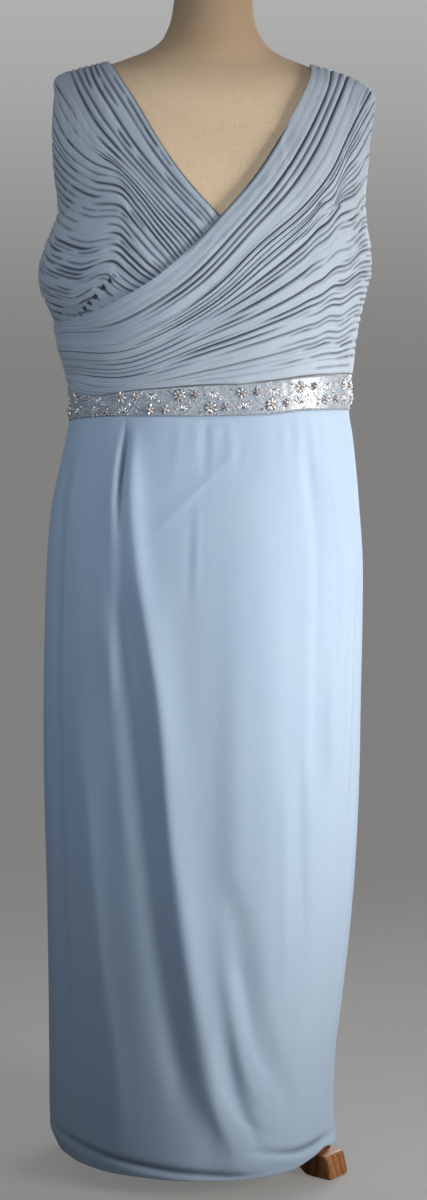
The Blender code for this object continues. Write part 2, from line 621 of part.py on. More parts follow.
def make_form(material):
    """The padded torso with its neck, one smooth closed solid inside the cloth."""
    heights = np.array(
        [1.600, 1.575, 1.546, 1.522, 1.505, 1.491, 1.480, 1.470, 1.462, 1.455, 1.448, 1.440, 1.430,
         1.416, 1.395, 1.370, 1.340, 1.305, 1.270, 1.235, 1.200, 1.165, 1.130, 1.090, 1.050, 1.010,
         0.970, 0.920, 0.860, 0.790, 0.730, 0.706]
    )
    turns = np.linspace(-90, 270, FORM_COLUMNS, endpoint=False)
    points = []
    for z in heights:
        level = np.full(FORM_COLUMNS, z)
        ring = raised(turns, level, np.full(FORM_COLUMNS, -clearance(z)))
        arm = 0.055 * smooth_step(1.250, 1.300, z) * smooth_step(1.445, 1.405, z)
        bulge = 0.045 * smooth_step(1.260, 1.215, z) * smooth_step(1.110, 1.165, z)
        hips = 0.030 * smooth_step(0.960, 0.900, z) + 0.050 * smooth_step(0.800, 0.706, z)
        ring[:, 0] *= 1 - arm - bulge - hips
        ring[:, 1] *= 1 - hips
        points.append(ring)
    base = raised(turns, np.full(FORM_COLUMNS, FORM_BOTTOM), np.full(FORM_COLUMNS, -BODY_CLEARANCE))
    base[:, 0] *= 0.84
    base[:, 1] *= 0.84
    base[:, 2] = FORM_BOTTOM
    points.append(base)
    count = FORM_COLUMNS
    faces = []
    for level in range(len(points) - 1):
        for c in range(count):
            a = level * count + c
            b = level * count + (c + 1) % count
            faces.append((a, b, b + count, a + count))
    faces.append(tuple(range(count)))
    faces.append(tuple(range((len(points) - 1) * count, len(points) * count)))
    return make_solid("form_torso", np.concatenate(points), faces, material)


def make_prism(name, radius, sides, first_angle, bottom, top, material):
    turns = np.radians(first_angle + 360.0 * np.arange(sides) / sides)
    ring = np.stack([STAND_X + radius * np.cos(turns), STAND_Y + radius * np.sin(turns)], axis=-1)
    points = [(x, y, z) for z in (bottom, top) for x, y in ring]
    faces = [(i, (i + 1) % sides, sides + (i + 1) % sides, sides + i) for i in range(sides)]
    faces.append(tuple(range(sides)))
    faces.append(tuple(range(sides, 2 * sides)))
    return make_solid(name, points, faces, material)


def leg_section(station):
    """Points of one section of a leg, an upright rectangle with round corners."""
    middle = (station.bottom + station.top) / 2
    half_height = (station.top - station.bottom) / 2
    corner = min(0.003, 0.6 * half_height, 0.6 * station.half_width)
    points = []
    for quarter in range(4):
        for step in (0, 1, 2):
            turn = math.radians(90 * quarter + 45 * step)
            across = math.copysign(station.half_width - corner, math.cos(math.radians(90 * quarter + 45)))
            rise = math.copysign(half_height - corner, math.sin(math.radians(90 * quarter + 45)))
            height = middle + rise + corner * math.sin(turn)
            reach = station.reach - station.lean * (height - station.bottom)
            points.append((reach, across + corner * math.cos(turn), height))
    return points


def make_leg(name, direction, material):
    turn = math.radians(direction)
    points = []
    for station in LEG:
        for reach, across, rise in leg_section(station):
            x = STAND_X + reach * math.cos(turn) - across * math.sin(turn)
            y = STAND_Y + reach * math.sin(turn) + across * math.cos(turn)
            points.append((x, y, rise))
    count = 12
    faces = []
    for s in range(len(LEG) - 1):
        for c in range(count):
            a = s * count + c
            b = s * count + (c + 1) % count
            faces.append((a, b, b + count, a + count))
    faces.append(tuple(range(count)))
    faces.append(tuple(range((len(LEG) - 1) * count, len(LEG) * count)))
    return make_solid(name, points, faces, material)


def make_material(name, colour, roughness, metallic=0.0):
    material = bpy.data.materials.new(name)
    material.use_nodes = True
    shader = material.node_tree.nodes["Principled BSDF"]
    shader.inputs["Base Color"].default_value = (*colour, 1.0)
    shader.inputs["Roughness"].default_value = roughness
    shader.inputs["Metallic"].default_value = metallic
    return material


def main():
    for item in list(bpy.data.objects):
        bpy.data.objects.remove(item)
    chiffon = make_material("chiffon", (0.36, 0.48, 0.68), 0.75)
    beaded_net = make_material("beaded_net", (0.50, 0.58, 0.70), 0.45)
    linen = make_material("linen", (0.55, 0.45, 0.34), 0.9)
    wood = make_material("varnished_wood", (0.45, 0.20, 0.06), 0.35)
    make_bodice_under(chiffon)
    make_bodice_over(chiffon)
    make_bodice_back("bodice_back_left", -1, chiffon)
    make_bodice_back("bodice_back_right", 1, chiffon)
    make_waistband("waistband_front", False, beaded_net)
    make_waistband("waistband_back", True, beaded_net)
    make_skirt("skirt_front", False, SKIRT_COLUMNS, FRONT_FOLDS, chiffon)
    make_skirt("skirt_back", True, SKIRT_BACK_COLUMNS, BACK_FOLDS, chiffon)
    make_form(linen)
    hub_corner = HUB_FLAT / math.cos(math.radians(30))
    make_prism("stand_hub", hub_corner, 6, LEG_ANGLES[0] + 30, HUB_BOTTOM, HUB_TOP, wood)
    make_prism("stand_pole", POLE_RADIUS, POLE_SIDES, 0.0, HUB_TOP + SEAM_GAP, FORM_BOTTOM - SEAM_GAP, wood)
    for number, direction in enumerate(LEG_ANGLES, start=1):
        make_leg(f"stand_leg_{number}", direction, wood)


main()
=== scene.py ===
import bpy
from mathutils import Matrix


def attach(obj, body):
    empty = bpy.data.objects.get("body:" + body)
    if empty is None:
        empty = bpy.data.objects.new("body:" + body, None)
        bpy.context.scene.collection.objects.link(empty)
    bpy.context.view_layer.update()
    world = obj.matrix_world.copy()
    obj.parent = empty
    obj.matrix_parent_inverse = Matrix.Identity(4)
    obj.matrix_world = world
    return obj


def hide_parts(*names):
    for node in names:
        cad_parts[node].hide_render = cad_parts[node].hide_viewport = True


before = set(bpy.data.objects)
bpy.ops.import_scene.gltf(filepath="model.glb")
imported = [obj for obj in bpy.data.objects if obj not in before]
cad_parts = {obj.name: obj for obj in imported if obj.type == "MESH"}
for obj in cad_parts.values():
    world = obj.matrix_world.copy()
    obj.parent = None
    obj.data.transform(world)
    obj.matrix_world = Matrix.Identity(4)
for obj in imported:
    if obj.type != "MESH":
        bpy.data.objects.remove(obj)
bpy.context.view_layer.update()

import math
import random
from collections import namedtuple

import bmesh
import bpy
import numpy as np
from mathutils import Matrix, Vector

bl_info = {
    "name": "Evening Gown on a Dress Form",
    "version": (1, 0, 0),
    "blender": (4, 5, 0),
    "location": "3D View > Sidebar > Gown",
    "description": "Dresses the fixed frame of a pleated evening gown with cloth, beads and finishes",
    "category": "Object",
}

# Where the dress form's axis stands. Every surface below is made about that axis.
AXIS_X = 0.0100
AXIS_Y = -0.0085
FORM_AXIS = np.array((AXIS_X, AXIS_Y, 0.0))

# Cloth and seams, in metres
WALL = 0.0015
SEAM_GAP = 0.0003
WAIST_GAP = 0.0007
SIDE_SEAM_ANGLE = 89.93
CENTRE_GAP = 0.0007
LAYER = 0.0046
SIDE_LAYER = 0.0028
OVERLAP = 0.044
SIDE_OVERLAP = 0.020
PLEAT_HEIGHT = 0.0042
PLEAT_STEEPNESS = 0.42
BELT_WALL = 0.0020
BELT_LIFT = 0.0004
SHOULDER_CLEARANCE = 0.0018
BODY_CLEARANCE = 0.0028
FORM_BOTTOM = 0.700
FORM_TOP = 1.600

# Beads: how many large flowers and strewn beads each half of the waistband has, how far the
# flowers stand off its middle line, how near to its ends and edges beads come, and how deep they sit
FLOWERS = 13
STREWN_BEADS = 2300
FLOWER_RISE = 0.0088
BELT_END = 0.0012
BELT_EDGE = 0.0006
BEAD_SINK = 0.0002
# Over how much of a line its direction is measured, and how finely a pleat's path is followed
TANGENT_STEP = 0.002
TRACE_POINTS = 1400
# The hem's stitches
STITCH_PITCH = 0.0034
STITCH_SIZE = (0.0024, 0.00045, 0.00045)
STITCH_ABOVE_HEM = 0.0042

# Pleats of each panel, and the mesh columns along them
UNDER_PLEATS = 24
OVER_PLEATS = 30
BACK_PLEATS = 18
UNDER_COLUMNS = 170
OVER_COLUMNS = 150
BACK_COLUMNS = 90
# Where the mesh rows of one pleat lie between its two valleys
PLEAT_SHARES = (0.0, 0.05, 0.12, 0.22, 0.34, 0.43, 0.50, 0.57, 0.68, 0.79, 0.88, 0.95)
INNER_STEP = len(PLEAT_SHARES)
# How far a valley reaches up the pleat below it and the pleat above it
VALLEY_SOFT_SIDE = 0.0026
VALLEY_SHARP_SIDE = 0.0011
# A pleat wider than this is creased again along its middle
WIDE_PLEAT = 0.0095
# Where pleats are narrower than this, every second valley closes up
NARROW_PLEAT = 0.0046

# Mesh columns and rows of the other pieces, and which rows the inside of the skirt has
SKIRT_COLUMNS = 190
SKIRT_BACK_COLUMNS = 170
SKIRT_ROWS = 230
SKIRT_INNER_STEP = 5
SKIRT_CLOSE_ROWS = 36
BELT_COLUMNS = 300
BELT_ROWS = 14
TORSO_COLUMNS = 128

# Level sections of the body: half-widths left and right, depths ahead of and behind the axis,
# and how square the section is (2 is an ellipse).
Section = namedtuple("Section", "z left right front back square")
BODY = [Section(*row) for row in (
    (1.605, 0.0510, 0.0510, 0.0465, 0.0500, 2.0),
    (1.546, 0.0545, 0.0545, 0.0480, 0.0540, 2.0),
    (1.505, 0.0640, 0.0615, 0.0500, 0.0590, 2.0),
    (1.491, 0.0725, 0.0695, 0.0500, 0.0605, 1.9),
    (1.480, 0.0880, 0.0800, 0.0500, 0.0615, 1.8),
    (1.470, 0.1130, 0.0970, 0.0505, 0.0625, 1.72),
    (1.462, 0.1360, 0.1170, 0.0515, 0.0640, 1.72),
    (1.455, 0.1640, 0.1360, 0.0535, 0.0660, 1.76),
    (1.448, 0.1900, 0.1590, 0.0560, 0.0690, 1.85),
    (1.440, 0.2060, 0.1830, 0.0590, 0.0720, 2.0),
    (1.430, 0.2130, 0.2020, 0.0630, 0.0760, 2.25),
    (1.418, 0.2170, 0.2120, 0.0680, 0.0805, 2.5),
    (1.400, 0.2240, 0.2190, 0.0755, 0.0860, 2.75),
    (1.375, 0.2260, 0.2210, 0.0860, 0.0925, 2.95),
    (1.345, 0.2216, 0.2150, 0.0990, 0.0990, 3.0),
    (1.305, 0.2121, 0.2048, 0.1150, 0.1060, 3.0),
    (1.262, 0.2040, 0.1990, 0.1300, 0.1120, 2.8),
    (1.234, 0.2130, 0.2020, 0.1390, 0.1150, 2.65),
    (1.200, 0.2255, 0.2065, 0.1480, 0.1165, 2.5),
    (1.170, 0.2300, 0.2045, 0.1520, 0.1165, 2.4),
    (1.140, 0.2200, 0.1970, 0.1500, 0.1150, 2.35),
    (1.110, 0.2090, 0.1890, 0.1440, 0.1120, 2.3),
    (1.080, 0.2030, 0.1855, 0.1375, 0.1105, 2.3),
    (1.050, 0.1965, 0.1825, 0.1325, 0.1100, 2.3),
    (1.020, 0.1915, 0.1810, 0.1295, 0.1120, 2.3),
    (0.990, 0.1905, 0.1800, 0.1280, 0.1160, 2.3),
    (0.960, 0.1955, 0.1845, 0.1300, 0.1215, 2.3),
    (0.920, 0.2045, 0.1890, 0.1350, 0.1320, 2.3),
    (0.870, 0.2150, 0.1930, 0.1420, 0.1480, 2.3),
    (0.800, 0.2215, 0.1975, 0.1495, 0.1610, 2.25),
    (0.720, 0.2243, 0.1973, 0.1540, 0.1680, 2.2),
    (0.620, 0.2260, 0.1950, 0.1580, 0.1730, 2.15),
    (0.500, 0.2255, 0.1925, 0.1630, 0.1790, 2.1),
    (0.350, 0.2210, 0.1845, 0.1705, 0.1875, 2.05),
    (0.220, 0.2180, 0.1710, 0.1775, 0.1955, 2.0),
    (0.130, 0.2165, 0.1605, 0.1820, 0.2010, 2.0),
    (0.060, 0.2155, 0.1597, 0.1860, 0.2045, 2.0),
    (0.000, 0.2130, 0.1630, 0.1890, 0.2070, 2.0),
)]

# The armholes: their top and bottom, and how far they reach ahead of and behind the side.
Armhole = namedtuple("Armhole", "top bottom reach")
LEFT_ARMHOLE = Armhole(1.434, 1.262, 0.052)
RIGHT_ARMHOLE = Armhole(1.421, 1.262, 0.052)
ARMHOLE_ROUND = 0.68

# Waist seams, by angle round the body: the waistband's upper and lower edge.
WaistPoint = namedtuple("WaistPoint", "angle top bottom")
WAIST = [WaistPoint(*row) for row in (
    (-90.0, 1.0314, 0.981),
    (-61.0, 1.0190, 0.986),
    (-49.0, 1.0155, 0.988),
    (-40.0, 1.0180, 0.989),
    (-33.0, 1.0215, 0.989),
    (-18.0, 1.0255, 0.989),
    (-2.0, 1.0290, 0.989),
    (12.0, 1.0310, 0.990),
    (27.0, 1.0358, 0.993),
    (35.0, 1.0395, 0.996),
    (46.0, 1.0425, 0.997),
    (90.0, 1.0435, 0.997),
    (180.0, 1.0375, 0.989),
    (270.0, 1.0314, 0.981),
)]

# Guide pleats, as (x, z) points across a panel from its side edge. The places run from 0 at the
# first pleat to 1 at the last. SIDE stands for the panel's own side edge at that height.
SIDE = 9.0
Guide = namedtuple("Guide", "place path")
UNDER_GUIDES = [Guide(*row) for row in (
    (0.0, ((-SIDE, 1.461), (-0.12, 1.431), (-0.1, 1.399), (-0.072, 1.35), (-0.042, 1.305),
        (-0.015, 1.272), (0.01, 1.245), (0.026, 1.229))),
    (0.12, ((-SIDE, 1.4515), (-0.162, 1.416), (-0.143, 1.383), (-0.112, 1.338), (-0.08, 1.299),
        (-0.047, 1.262), (-0.011, 1.223), (0.005, 1.206))),
    (0.25, ((-SIDE, 1.4345), (-0.183, 1.386), (-0.163, 1.352), (-0.124, 1.317), (-0.098, 1.29),
        (-0.066, 1.252), (-0.028, 1.21), (-0.013, 1.191))),
    (0.35, ((-SIDE, 1.385), (-0.19, 1.344), (-0.156, 1.313), (-0.119, 1.298), (-0.096, 1.272),
        (-0.07, 1.238), (-0.038, 1.2), (-0.023, 1.181))),
    (0.45, ((-SIDE, 1.336), (-0.19, 1.309), (-0.156, 1.285), (-0.119, 1.276), (-0.098, 1.251),
        (-0.074, 1.22), (-0.048, 1.189), (-0.033, 1.171))),
    (0.54, ((-SIDE, 1.288), (-0.19, 1.262), (-0.158, 1.245), (-0.12, 1.242), (-0.101, 1.221),
        (-0.08, 1.197), (-0.059, 1.177), (-0.045, 1.158))),
    (0.63, ((-SIDE, 1.24), (-0.197, 1.216), (-0.165, 1.204), (-0.121, 1.207), (-0.105, 1.192),
        (-0.088, 1.176), (-0.072, 1.165), (-0.058, 1.146))),
    (0.73, ((-SIDE, 1.206), (-0.205, 1.184), (-0.172, 1.174), (-0.126, 1.183), (-0.113, 1.172),
        (-0.1, 1.162), (-0.087, 1.155), (-0.073, 1.137))),
    (0.83, ((-SIDE, 1.175), (-0.207, 1.157), (-0.178, 1.149), (-0.138, 1.161), (-0.128, 1.152),
        (-0.117, 1.146), (-0.105, 1.141), (-0.09, 1.124))),
    (0.92, ((-SIDE, 1.143), (-0.201, 1.131), (-0.18, 1.126), (-0.153, 1.131), (-0.144, 1.127),
        (-0.135, 1.124), (-0.126, 1.121), (-0.106, 1.112))),
    (1.0, ((-SIDE, 1.096), (-0.195, 1.098), (-0.18, 1.1), (-0.16, 1.103), (-0.15, 1.105), (-0.14, 1.106),
        (-0.128, 1.107), (-0.108, 1.1))),
)]
OVER_GUIDES = [Guide(*row) for row in (
    (0.0, ((SIDE, 1.4575), (0.1262, 1.43), (0.0918, 1.36), (0.0549, 1.3), (0.0096, 1.245),
        (-0.0626, 1.174), (-0.14, 1.13), (-SIDE, 1.1105))),
    (0.13, ((SIDE, 1.4455), (0.153, 1.405), (0.1253, 1.344), (0.089, 1.285), (0.043, 1.231),
        (-0.02, 1.165), (-0.105, 1.112), (-SIDE, 1.0985))),
    (0.27, ((SIDE, 1.4215), (0.176, 1.356), (0.1499, 1.302), (0.1142, 1.257), (0.0634, 1.212),
        (-0.005, 1.147), (-0.102, 1.093), (-SIDE, 1.087))),
    (0.4, ((SIDE, 1.345), (0.179, 1.306), (0.154, 1.269), (0.118, 1.228), (0.068, 1.184), (0.006, 1.133),
        (-0.096, 1.079), (-SIDE, 1.0755))),
    (0.54, ((SIDE, 1.262), (0.176, 1.243), (0.148, 1.221), (0.109, 1.186), (0.062, 1.152), (0.005, 1.118),
        (-0.095, 1.068), (-SIDE, 1.0645))),
    (0.66, ((SIDE, 1.216), (0.176, 1.195), (0.145, 1.175), (0.103, 1.147), (0.054, 1.121),
        (-0.003, 1.096), (-0.096, 1.056), (-SIDE, 1.0555))),
    (0.78, ((SIDE, 1.165), (0.171, 1.148), (0.138, 1.133), (0.092, 1.112), (0.04, 1.092), (-0.018, 1.072),
        (-0.098, 1.045), (-SIDE, 1.0475))),
    (0.9, ((SIDE, 1.103), (0.165, 1.093), (0.131, 1.084), (0.086, 1.072), (0.035, 1.06), (-0.022, 1.047),
        (-0.099, 1.032), (-SIDE, 1.039))),
)]
BACK_GUIDES = [Guide(*row) for row in (
    (0.0, ((SIDE, 1.4575), (0.112, 1.424), (0.082, 1.392), (0.045, 1.366), (0.02, 1.358), (0.0, 1.356))),
    (0.14, ((SIDE, 1.445), (0.142, 1.395), (0.105, 1.36), (0.062, 1.334), (0.028, 1.323), (0.0, 1.32))),
    (0.28, ((SIDE, 1.4215), (0.161, 1.362), (0.12, 1.329), (0.073, 1.303), (0.032, 1.289), (0.0, 1.285))),
    (0.42, ((SIDE, 1.345), (0.166, 1.304), (0.126, 1.279), (0.078, 1.257), (0.035, 1.245), (0.0, 1.242))),
    (0.55, ((SIDE, 1.262), (0.16, 1.233), (0.12, 1.214), (0.076, 1.2), (0.034, 1.193), (0.0, 1.191))),
    (0.78, ((SIDE, 1.15), (0.155, 1.132), (0.116, 1.12), (0.074, 1.112), (0.033, 1.107), (0.0, 1.105))),
)]
# Where the left back panel's first pleats start at the shoulder
LEFT_SHOULDER = (1.4610, 1.4515, 1.4345)

# How creases are held between two shares of their length: how much of their own strength stays,
# the two shares, the creases, and the strength they get.
UNDER_HOLDS = (
    # The shoulder pleats run on unbroken, with one wide smooth band between them.
    (0.3, 0.0, 0.90, (0, 2, 4), 0.62),
    (0.3, 0.0, 0.90, (1, 3), 0.42),
    (0.1, 0.0, 0.40, (5, 6, 7), 0.03),
    # Short deep creases start at the armhole and die away before the tack line.
    (0.0, 0.0, 0.13, range(8, 15), 1.0),
    (0.45, 0.20, 0.33, range(9, 15), 0.0),
    # Two of the drooping pleats run into the next ones.
    (0.15, 0.36, 0.60, (14, 16), 0.04),
)
OVER_HOLDS = (
    # The first pleats lie flat as one smooth band along the wrap's edge.
    (0.0, 0.0, 1.0, (1, 2), 0.02),
    (0.2, 0.0, 0.62, (3, 5, 8, 11, 14), 0.78),
    (0.2, 0.0, 0.55, (4, 10), 0.5),
    (0.1, 0.10, 0.55, (6, 7, 13, 17, 21), 0.04),
    # One deep soft fold comes down from the shoulder.
    (0.0, 0.05, 0.45, (9,), 1.0),
    # The lowest pleats are wide and nearly smooth.
    (0.3, 0.0, 1.0, (26, 28, 29), 0.0),
    (0.2, 0.10, 0.95, (27,), 0.5),
)
# How far the upper wrap's pleats waver near its side, and over what length
WAVER_HEIGHT = 0.0026
WAVER_LENGTH = 0.036

# Ends (x, z) of the ragged row of gaps at the left, and how many gaps it has
GAP_ROW = ((-0.1275, 1.172), (-0.176, 1.122))
GAP_ROW_TEETH = 6
# How far each gap runs on between the pleats beyond the row
GAP_REACH = 0.010
# Roughly where the waistband's upper edge is, and the place from which pleats settle onto it
WAIST_ABOUT = 1.031
SETTLE_FROM = 0.84

# Skirt folds: how far they stand out (a trough is negative), half their width, and the path from
# top to bottom as (angle, z). The first folds of each half are those of the solid.
Fold = namedtuple("Fold", "height half_width path")
FRONT_FOLDS = [Fold(*row) for row in (
    (-0.0035, 0.009, ((-35.0, 0.99), (-33.0, 0.93), (-31.0, 0.85))),
    (0.0085, 0.021, ((-33.0, 0.95), (-27.0, 0.806), (-21.0, 0.69), (-16.0, 0.56), (-12.0, 0.374),
        (-6.0, 0.24), (0.0, 0.13), (9.0, 0.055))),
    (-0.007, 0.017, ((-31.0, 0.76), (-26.0, 0.64), (-22.0, 0.5), (-18.0, 0.33), (-13.0, 0.2),
        (-8.0, 0.11))),
    (0.003, 0.013, ((-38.0, 0.94), (-37.0, 0.76), (-36.0, 0.62))),
    (0.0045, 0.016, ((50.0, 0.94), (56.0, 0.78), (55.0, 0.64), (54.0, 0.5))),
    (-0.0035, 0.014, ((43.0, 0.93), (48.0, 0.76), (46.0, 0.6), (45.0, 0.48))),
    (-0.004, 0.018, ((-62.0, 0.9), (-63.0, 0.6), (-62.0, 0.3), (-60.0, 0.12))),
    (0.003, 0.016, ((-50.0, 0.62), (-46.0, 0.35), (-42.0, 0.1))),
    (-0.004, 0.018, ((5.0, 0.4), (14.0, 0.28), (24.0, 0.18), (38.0, 0.1))),
    (-0.005, 0.012, ((4.0, 0.21), (12.0, 0.12), (22.0, 0.06))),
    (0.0035, 0.016, ((72.0, 0.5), (70.0, 0.3), (66.0, 0.12))),
)]
BACK_FOLDS = [Fold(*row) for row in (
    (0.005, 0.02, ((150.0, 0.93), (154.0, 0.7), (158.0, 0.45), (161.0, 0.02))),
    (-0.0045, 0.016, ((164.0, 0.78), (170.0, 0.5), (176.0, 0.2))),
    (0.0045, 0.018, ((208.0, 0.9), (204.0, 0.65), (198.0, 0.35), (194.0, 0.02))),
    (-0.004, 0.017, ((222.0, 0.8), (220.0, 0.5), (214.0, 0.15))),
    (0.0035, 0.018, ((126.0, 0.86), (124.0, 0.5), (122.0, 0.1))),
    (-0.003, 0.016, ((242.0, 0.7), (244.0, 0.4), (243.0, 0.1))),
)]
# Finer creases, which only this surface has.
FRONT_CREASES = [Fold(*row) for row in (
    (-0.003, 0.0032, ((-34.2, 0.984), (-33.4, 0.93), (-31.8, 0.84))),
    (0.0019, 0.008, ((-32.2, 0.99), (-28.6, 0.9), (-24.8, 0.804), (-21.0, 0.703), (-17.4, 0.626),
        (-14.8, 0.481), (-11.0, 0.375))),
    (0.0024, 0.0072, ((-36.2, 0.99), (-36.0, 0.92), (-34.6, 0.85), (-33.8, 0.78), (-34.0, 0.62))),
    (-0.0014, 0.01, ((-31.5, 0.9), (-29.5, 0.8), (-26.5, 0.7), (-23.0, 0.6), (-20.0, 0.48))),
    (0.0028, 0.01, ((43.0, 0.95), (48.0, 0.78), (48.0, 0.66), (49.0, 0.52))),
    (-0.003, 0.009, ((37.5, 0.95), (41.0, 0.78), (41.0, 0.64), (41.0, 0.48))),
    (0.0017, 0.0095, ((-11.0, 0.4), (-7.5, 0.287), (-1.8, 0.18), (1.5, 0.1), (9.0, 0.06))),
    (0.0009, 0.004, ((-5.2, 0.87), (-5.4, 0.82), (-5.9, 0.74))),
    (-0.0005, 0.004, ((-8.0, 0.86), (-8.2, 0.81), (-8.6, 0.75))),
    (0.0012, 0.006, ((10.0, 0.965), (7.0, 0.941), (-3.5, 0.902), (-14.0, 0.862), (-24.0, 0.82))),
    (-0.0008, 0.007, ((4.0, 0.965), (0.0, 0.95), (-9.0, 0.915), (-17.0, 0.88))),
    (0.0008, 0.008, ((22.0, 0.935), (12.0, 0.895), (3.0, 0.86))),
    (0.0016, 0.0115, ((-34.5, 0.74), (-33.5, 0.64), (-31.5, 0.52), (-28.5, 0.4))),
    (0.0017, 0.0125, ((-45.0, 0.54), (-43.0, 0.39), (-39.5, 0.265), (-35.0, 0.165), (-33.0, 0.06))),
    (-0.0015, 0.011, ((-50.5, 0.5), (-48.5, 0.38), (-45.5, 0.25), (-42.0, 0.11))),
    (-0.0018, 0.013, ((-66.0, 0.96), (-67.5, 0.6), (-67.5, 0.3), (-66.0, 0.08))),
    (0.0018, 0.0095, ((-56.5, 0.94), (-58.0, 0.6), (-58.0, 0.3), (-56.0, 0.12))),
    (-0.0026, 0.011, ((8.0, 0.32), (13.0, 0.255), (18.0, 0.195), (28.0, 0.13))),
    (0.0018, 0.01, ((4.0, 0.29), (9.0, 0.215), (15.0, 0.15), (26.0, 0.1))),
    (-0.0024, 0.009, ((1.0, 0.19), (6.0, 0.14), (13.0, 0.1), (28.0, 0.072))),
    (0.0018, 0.008, ((62.0, 0.82), (64.0, 0.64), (63.0, 0.46))),
    (-0.0018, 0.008, ((68.0, 0.78), (70.0, 0.6), (68.0, 0.42))),
    (-0.0016, 0.008, ((34.0, 0.56), (36.0, 0.42), (40.0, 0.29))),
    (0.0016, 0.009, ((28.0, 0.52), (29.0, 0.38), (32.0, 0.24))),
)]
BACK_CREASES = [Fold(*row) for row in (
    (0.0018, 0.008, ((140.0, 0.8), (142.0, 0.62), (145.0, 0.43))),
    (-0.0016, 0.007, ((134.0, 0.7), (135.0, 0.52), (138.0, 0.34))),
    (-0.0018, 0.006, ((156.0, 0.62), (160.0, 0.43), (165.0, 0.24))),
    (0.0016, 0.008, ((186.0, 0.72), (187.0, 0.52), (189.0, 0.3))),
    (-0.0016, 0.007, ((196.0, 0.56), (193.0, 0.38), (190.0, 0.2))),
    (0.0018, 0.008, ((230.0, 0.62), (227.0, 0.43), (224.0, 0.24))),
    (-0.0014, 0.007, ((212.0, 0.86), (210.0, 0.76), (207.0, 0.66))),
    (0.0016, 0.006, ((168.0, 0.33), (172.0, 0.21), (178.0, 0.11))),
    (-0.0016, 0.006, ((110.0, 0.64), (108.0, 0.43), (107.0, 0.23))),
    (0.0016, 0.007, ((254.0, 0.56), (256.0, 0.36), (255.0, 0.17))),
)]
GATHER_HEIGHT = 0.0013
# The radius at which a fold's width is measured
FOLD_RADIUS = 0.19

# Hem heights, and the front corner that rides up over the stand's foot.
HEM = 0.0235
HEM_OVER_FOOT = 0.0135
FOOT_ANGLE = 61.0
FOOT_ARC = 15.0
# The hem sags a little at the left, and hides the foot behind it.
HEM_SAG = 0.0018
SAG_ANGLE = -46.0
SAG_ARC = 12.0
# How far the hem rolls under over its lowest part: angle, depth.
HEM_ROLL_HEIGHT = 0.026
HEM_ROLLS = (
    (-90.0, 0.008), (-72.0, 0.0065), (-55.0, 0.003), (-34.0, 0.0028), (-18.0, 0.0035),
    (10.0, 0.0055), (34.0, 0.0045), (46.0, 0.003), (58.0, 0.0005), (66.0, -0.0025),
    (90.0, -0.001), (128.0, 0.005), (205.0, 0.005), (240.0, 0.006), (270.0, 0.008),
)
# The lines along which the skirt is pressed in above its hem: angle, height over the hem, strength.
HEM_LINES = (
    (
        (-90.0, 0.03, 0.0), (-72.0, 0.029, 0.45), (-55.0, 0.027, 0.8), (-42.0, 0.023, 0.9),
        (-30.0, 0.0175, 0.95), (-13.0, 0.011, 0.95), (7.0, 0.006, 0.85), (26.0, 0.003, 0.0),
    ),
    (
        (13.0, 0.034, 0.0), (22.0, 0.033, 0.45), (34.0, 0.027, 0.8), (46.0, 0.02, 1.0),
        (58.0, 0.013, 0.9), (68.0, 0.012, 0.55), (90.0, 0.016, 0.0),
    ),
    (
        (98.0, 0.018, 0.0), (128.0, 0.022, 0.55), (163.0, 0.026, 0.15), (205.0, 0.023, 0.6),
        (240.0, 0.021, 0.3), (270.0, 0.03, 0.0),
    ),
)
# The press along those lines, the softer bulge below it, and the painted shade along its middle
PRESS_DEPTH = 0.0048
PRESS_WIDTH = 0.0046
BULGE_HEIGHT = 0.0018
BULGE_BELOW = 0.011
BULGE_WIDTH = 0.0075
PRESS_SHADE = 0.58
PRESS_SHADE_WIDTH = 0.0034

# The stand: one leg from the hub outward.
LegStation = namedtuple("LegStation", "reach bottom top half_width lean")
LEG = [LegStation(*row) for row in (
    (0.0258, 0.140, 0.205, 0.0110, 0.0),
    (0.0450, 0.134, 0.194, 0.0120, 0.0),
    (0.0690, 0.103, 0.166, 0.0135, 0.0),
    (0.0910, 0.066, 0.124, 0.0150, 0.0),
    (0.1090, 0.036, 0.086, 0.0165, 0.0),
    (0.1240, 0.012, 0.056, 0.0180, 0.0),
    (0.1360, 0.002, 0.038, 0.0190, 0.0),
    (0.1480, 0.000, 0.032, 0.0200, 0.05),
    (0.1700, 0.000, 0.030, 0.0205, 0.20),
    (0.1765, 0.000, 0.0295, 0.0205, 0.25),
    (0.1785, 0.0015, 0.0280, 0.0192, 0.25),
)]
LEG_ANGLES = (-36.5, 83.5, 203.5)
STAND_X = 0.0200
STAND_Y = 0.0100
LEG_STEP = 0.004
LEG_CORNER = 0.0026
LEG_CORNER_STEPS = 5
# The leg's top and bottom curve smoothly up to this reach, and run straight beyond it.
CURVE_ENDS = 0.142

# The camera stands level, this far from the form's axis. Its horizon lies this far above the
# middle of the picture, as a share of the picture's height.
CAMERA_BACK = 3.2
CAMERA_HEIGHT = 1.01
CAMERA_LENS = 71.64
HORIZON_ABOVE_MIDDLE = 1 / 6
# How bright the studio's walls light the gown, and how bright they look behind it
WORLD_LIGHT = 0.19
WORLD_SHOWN = 0.56
# How much brighter the floor looks than its light alone makes it, and how far it runs
FLOOR_SHOWN = 0.17
FLOOR_RADIUS = 300.0


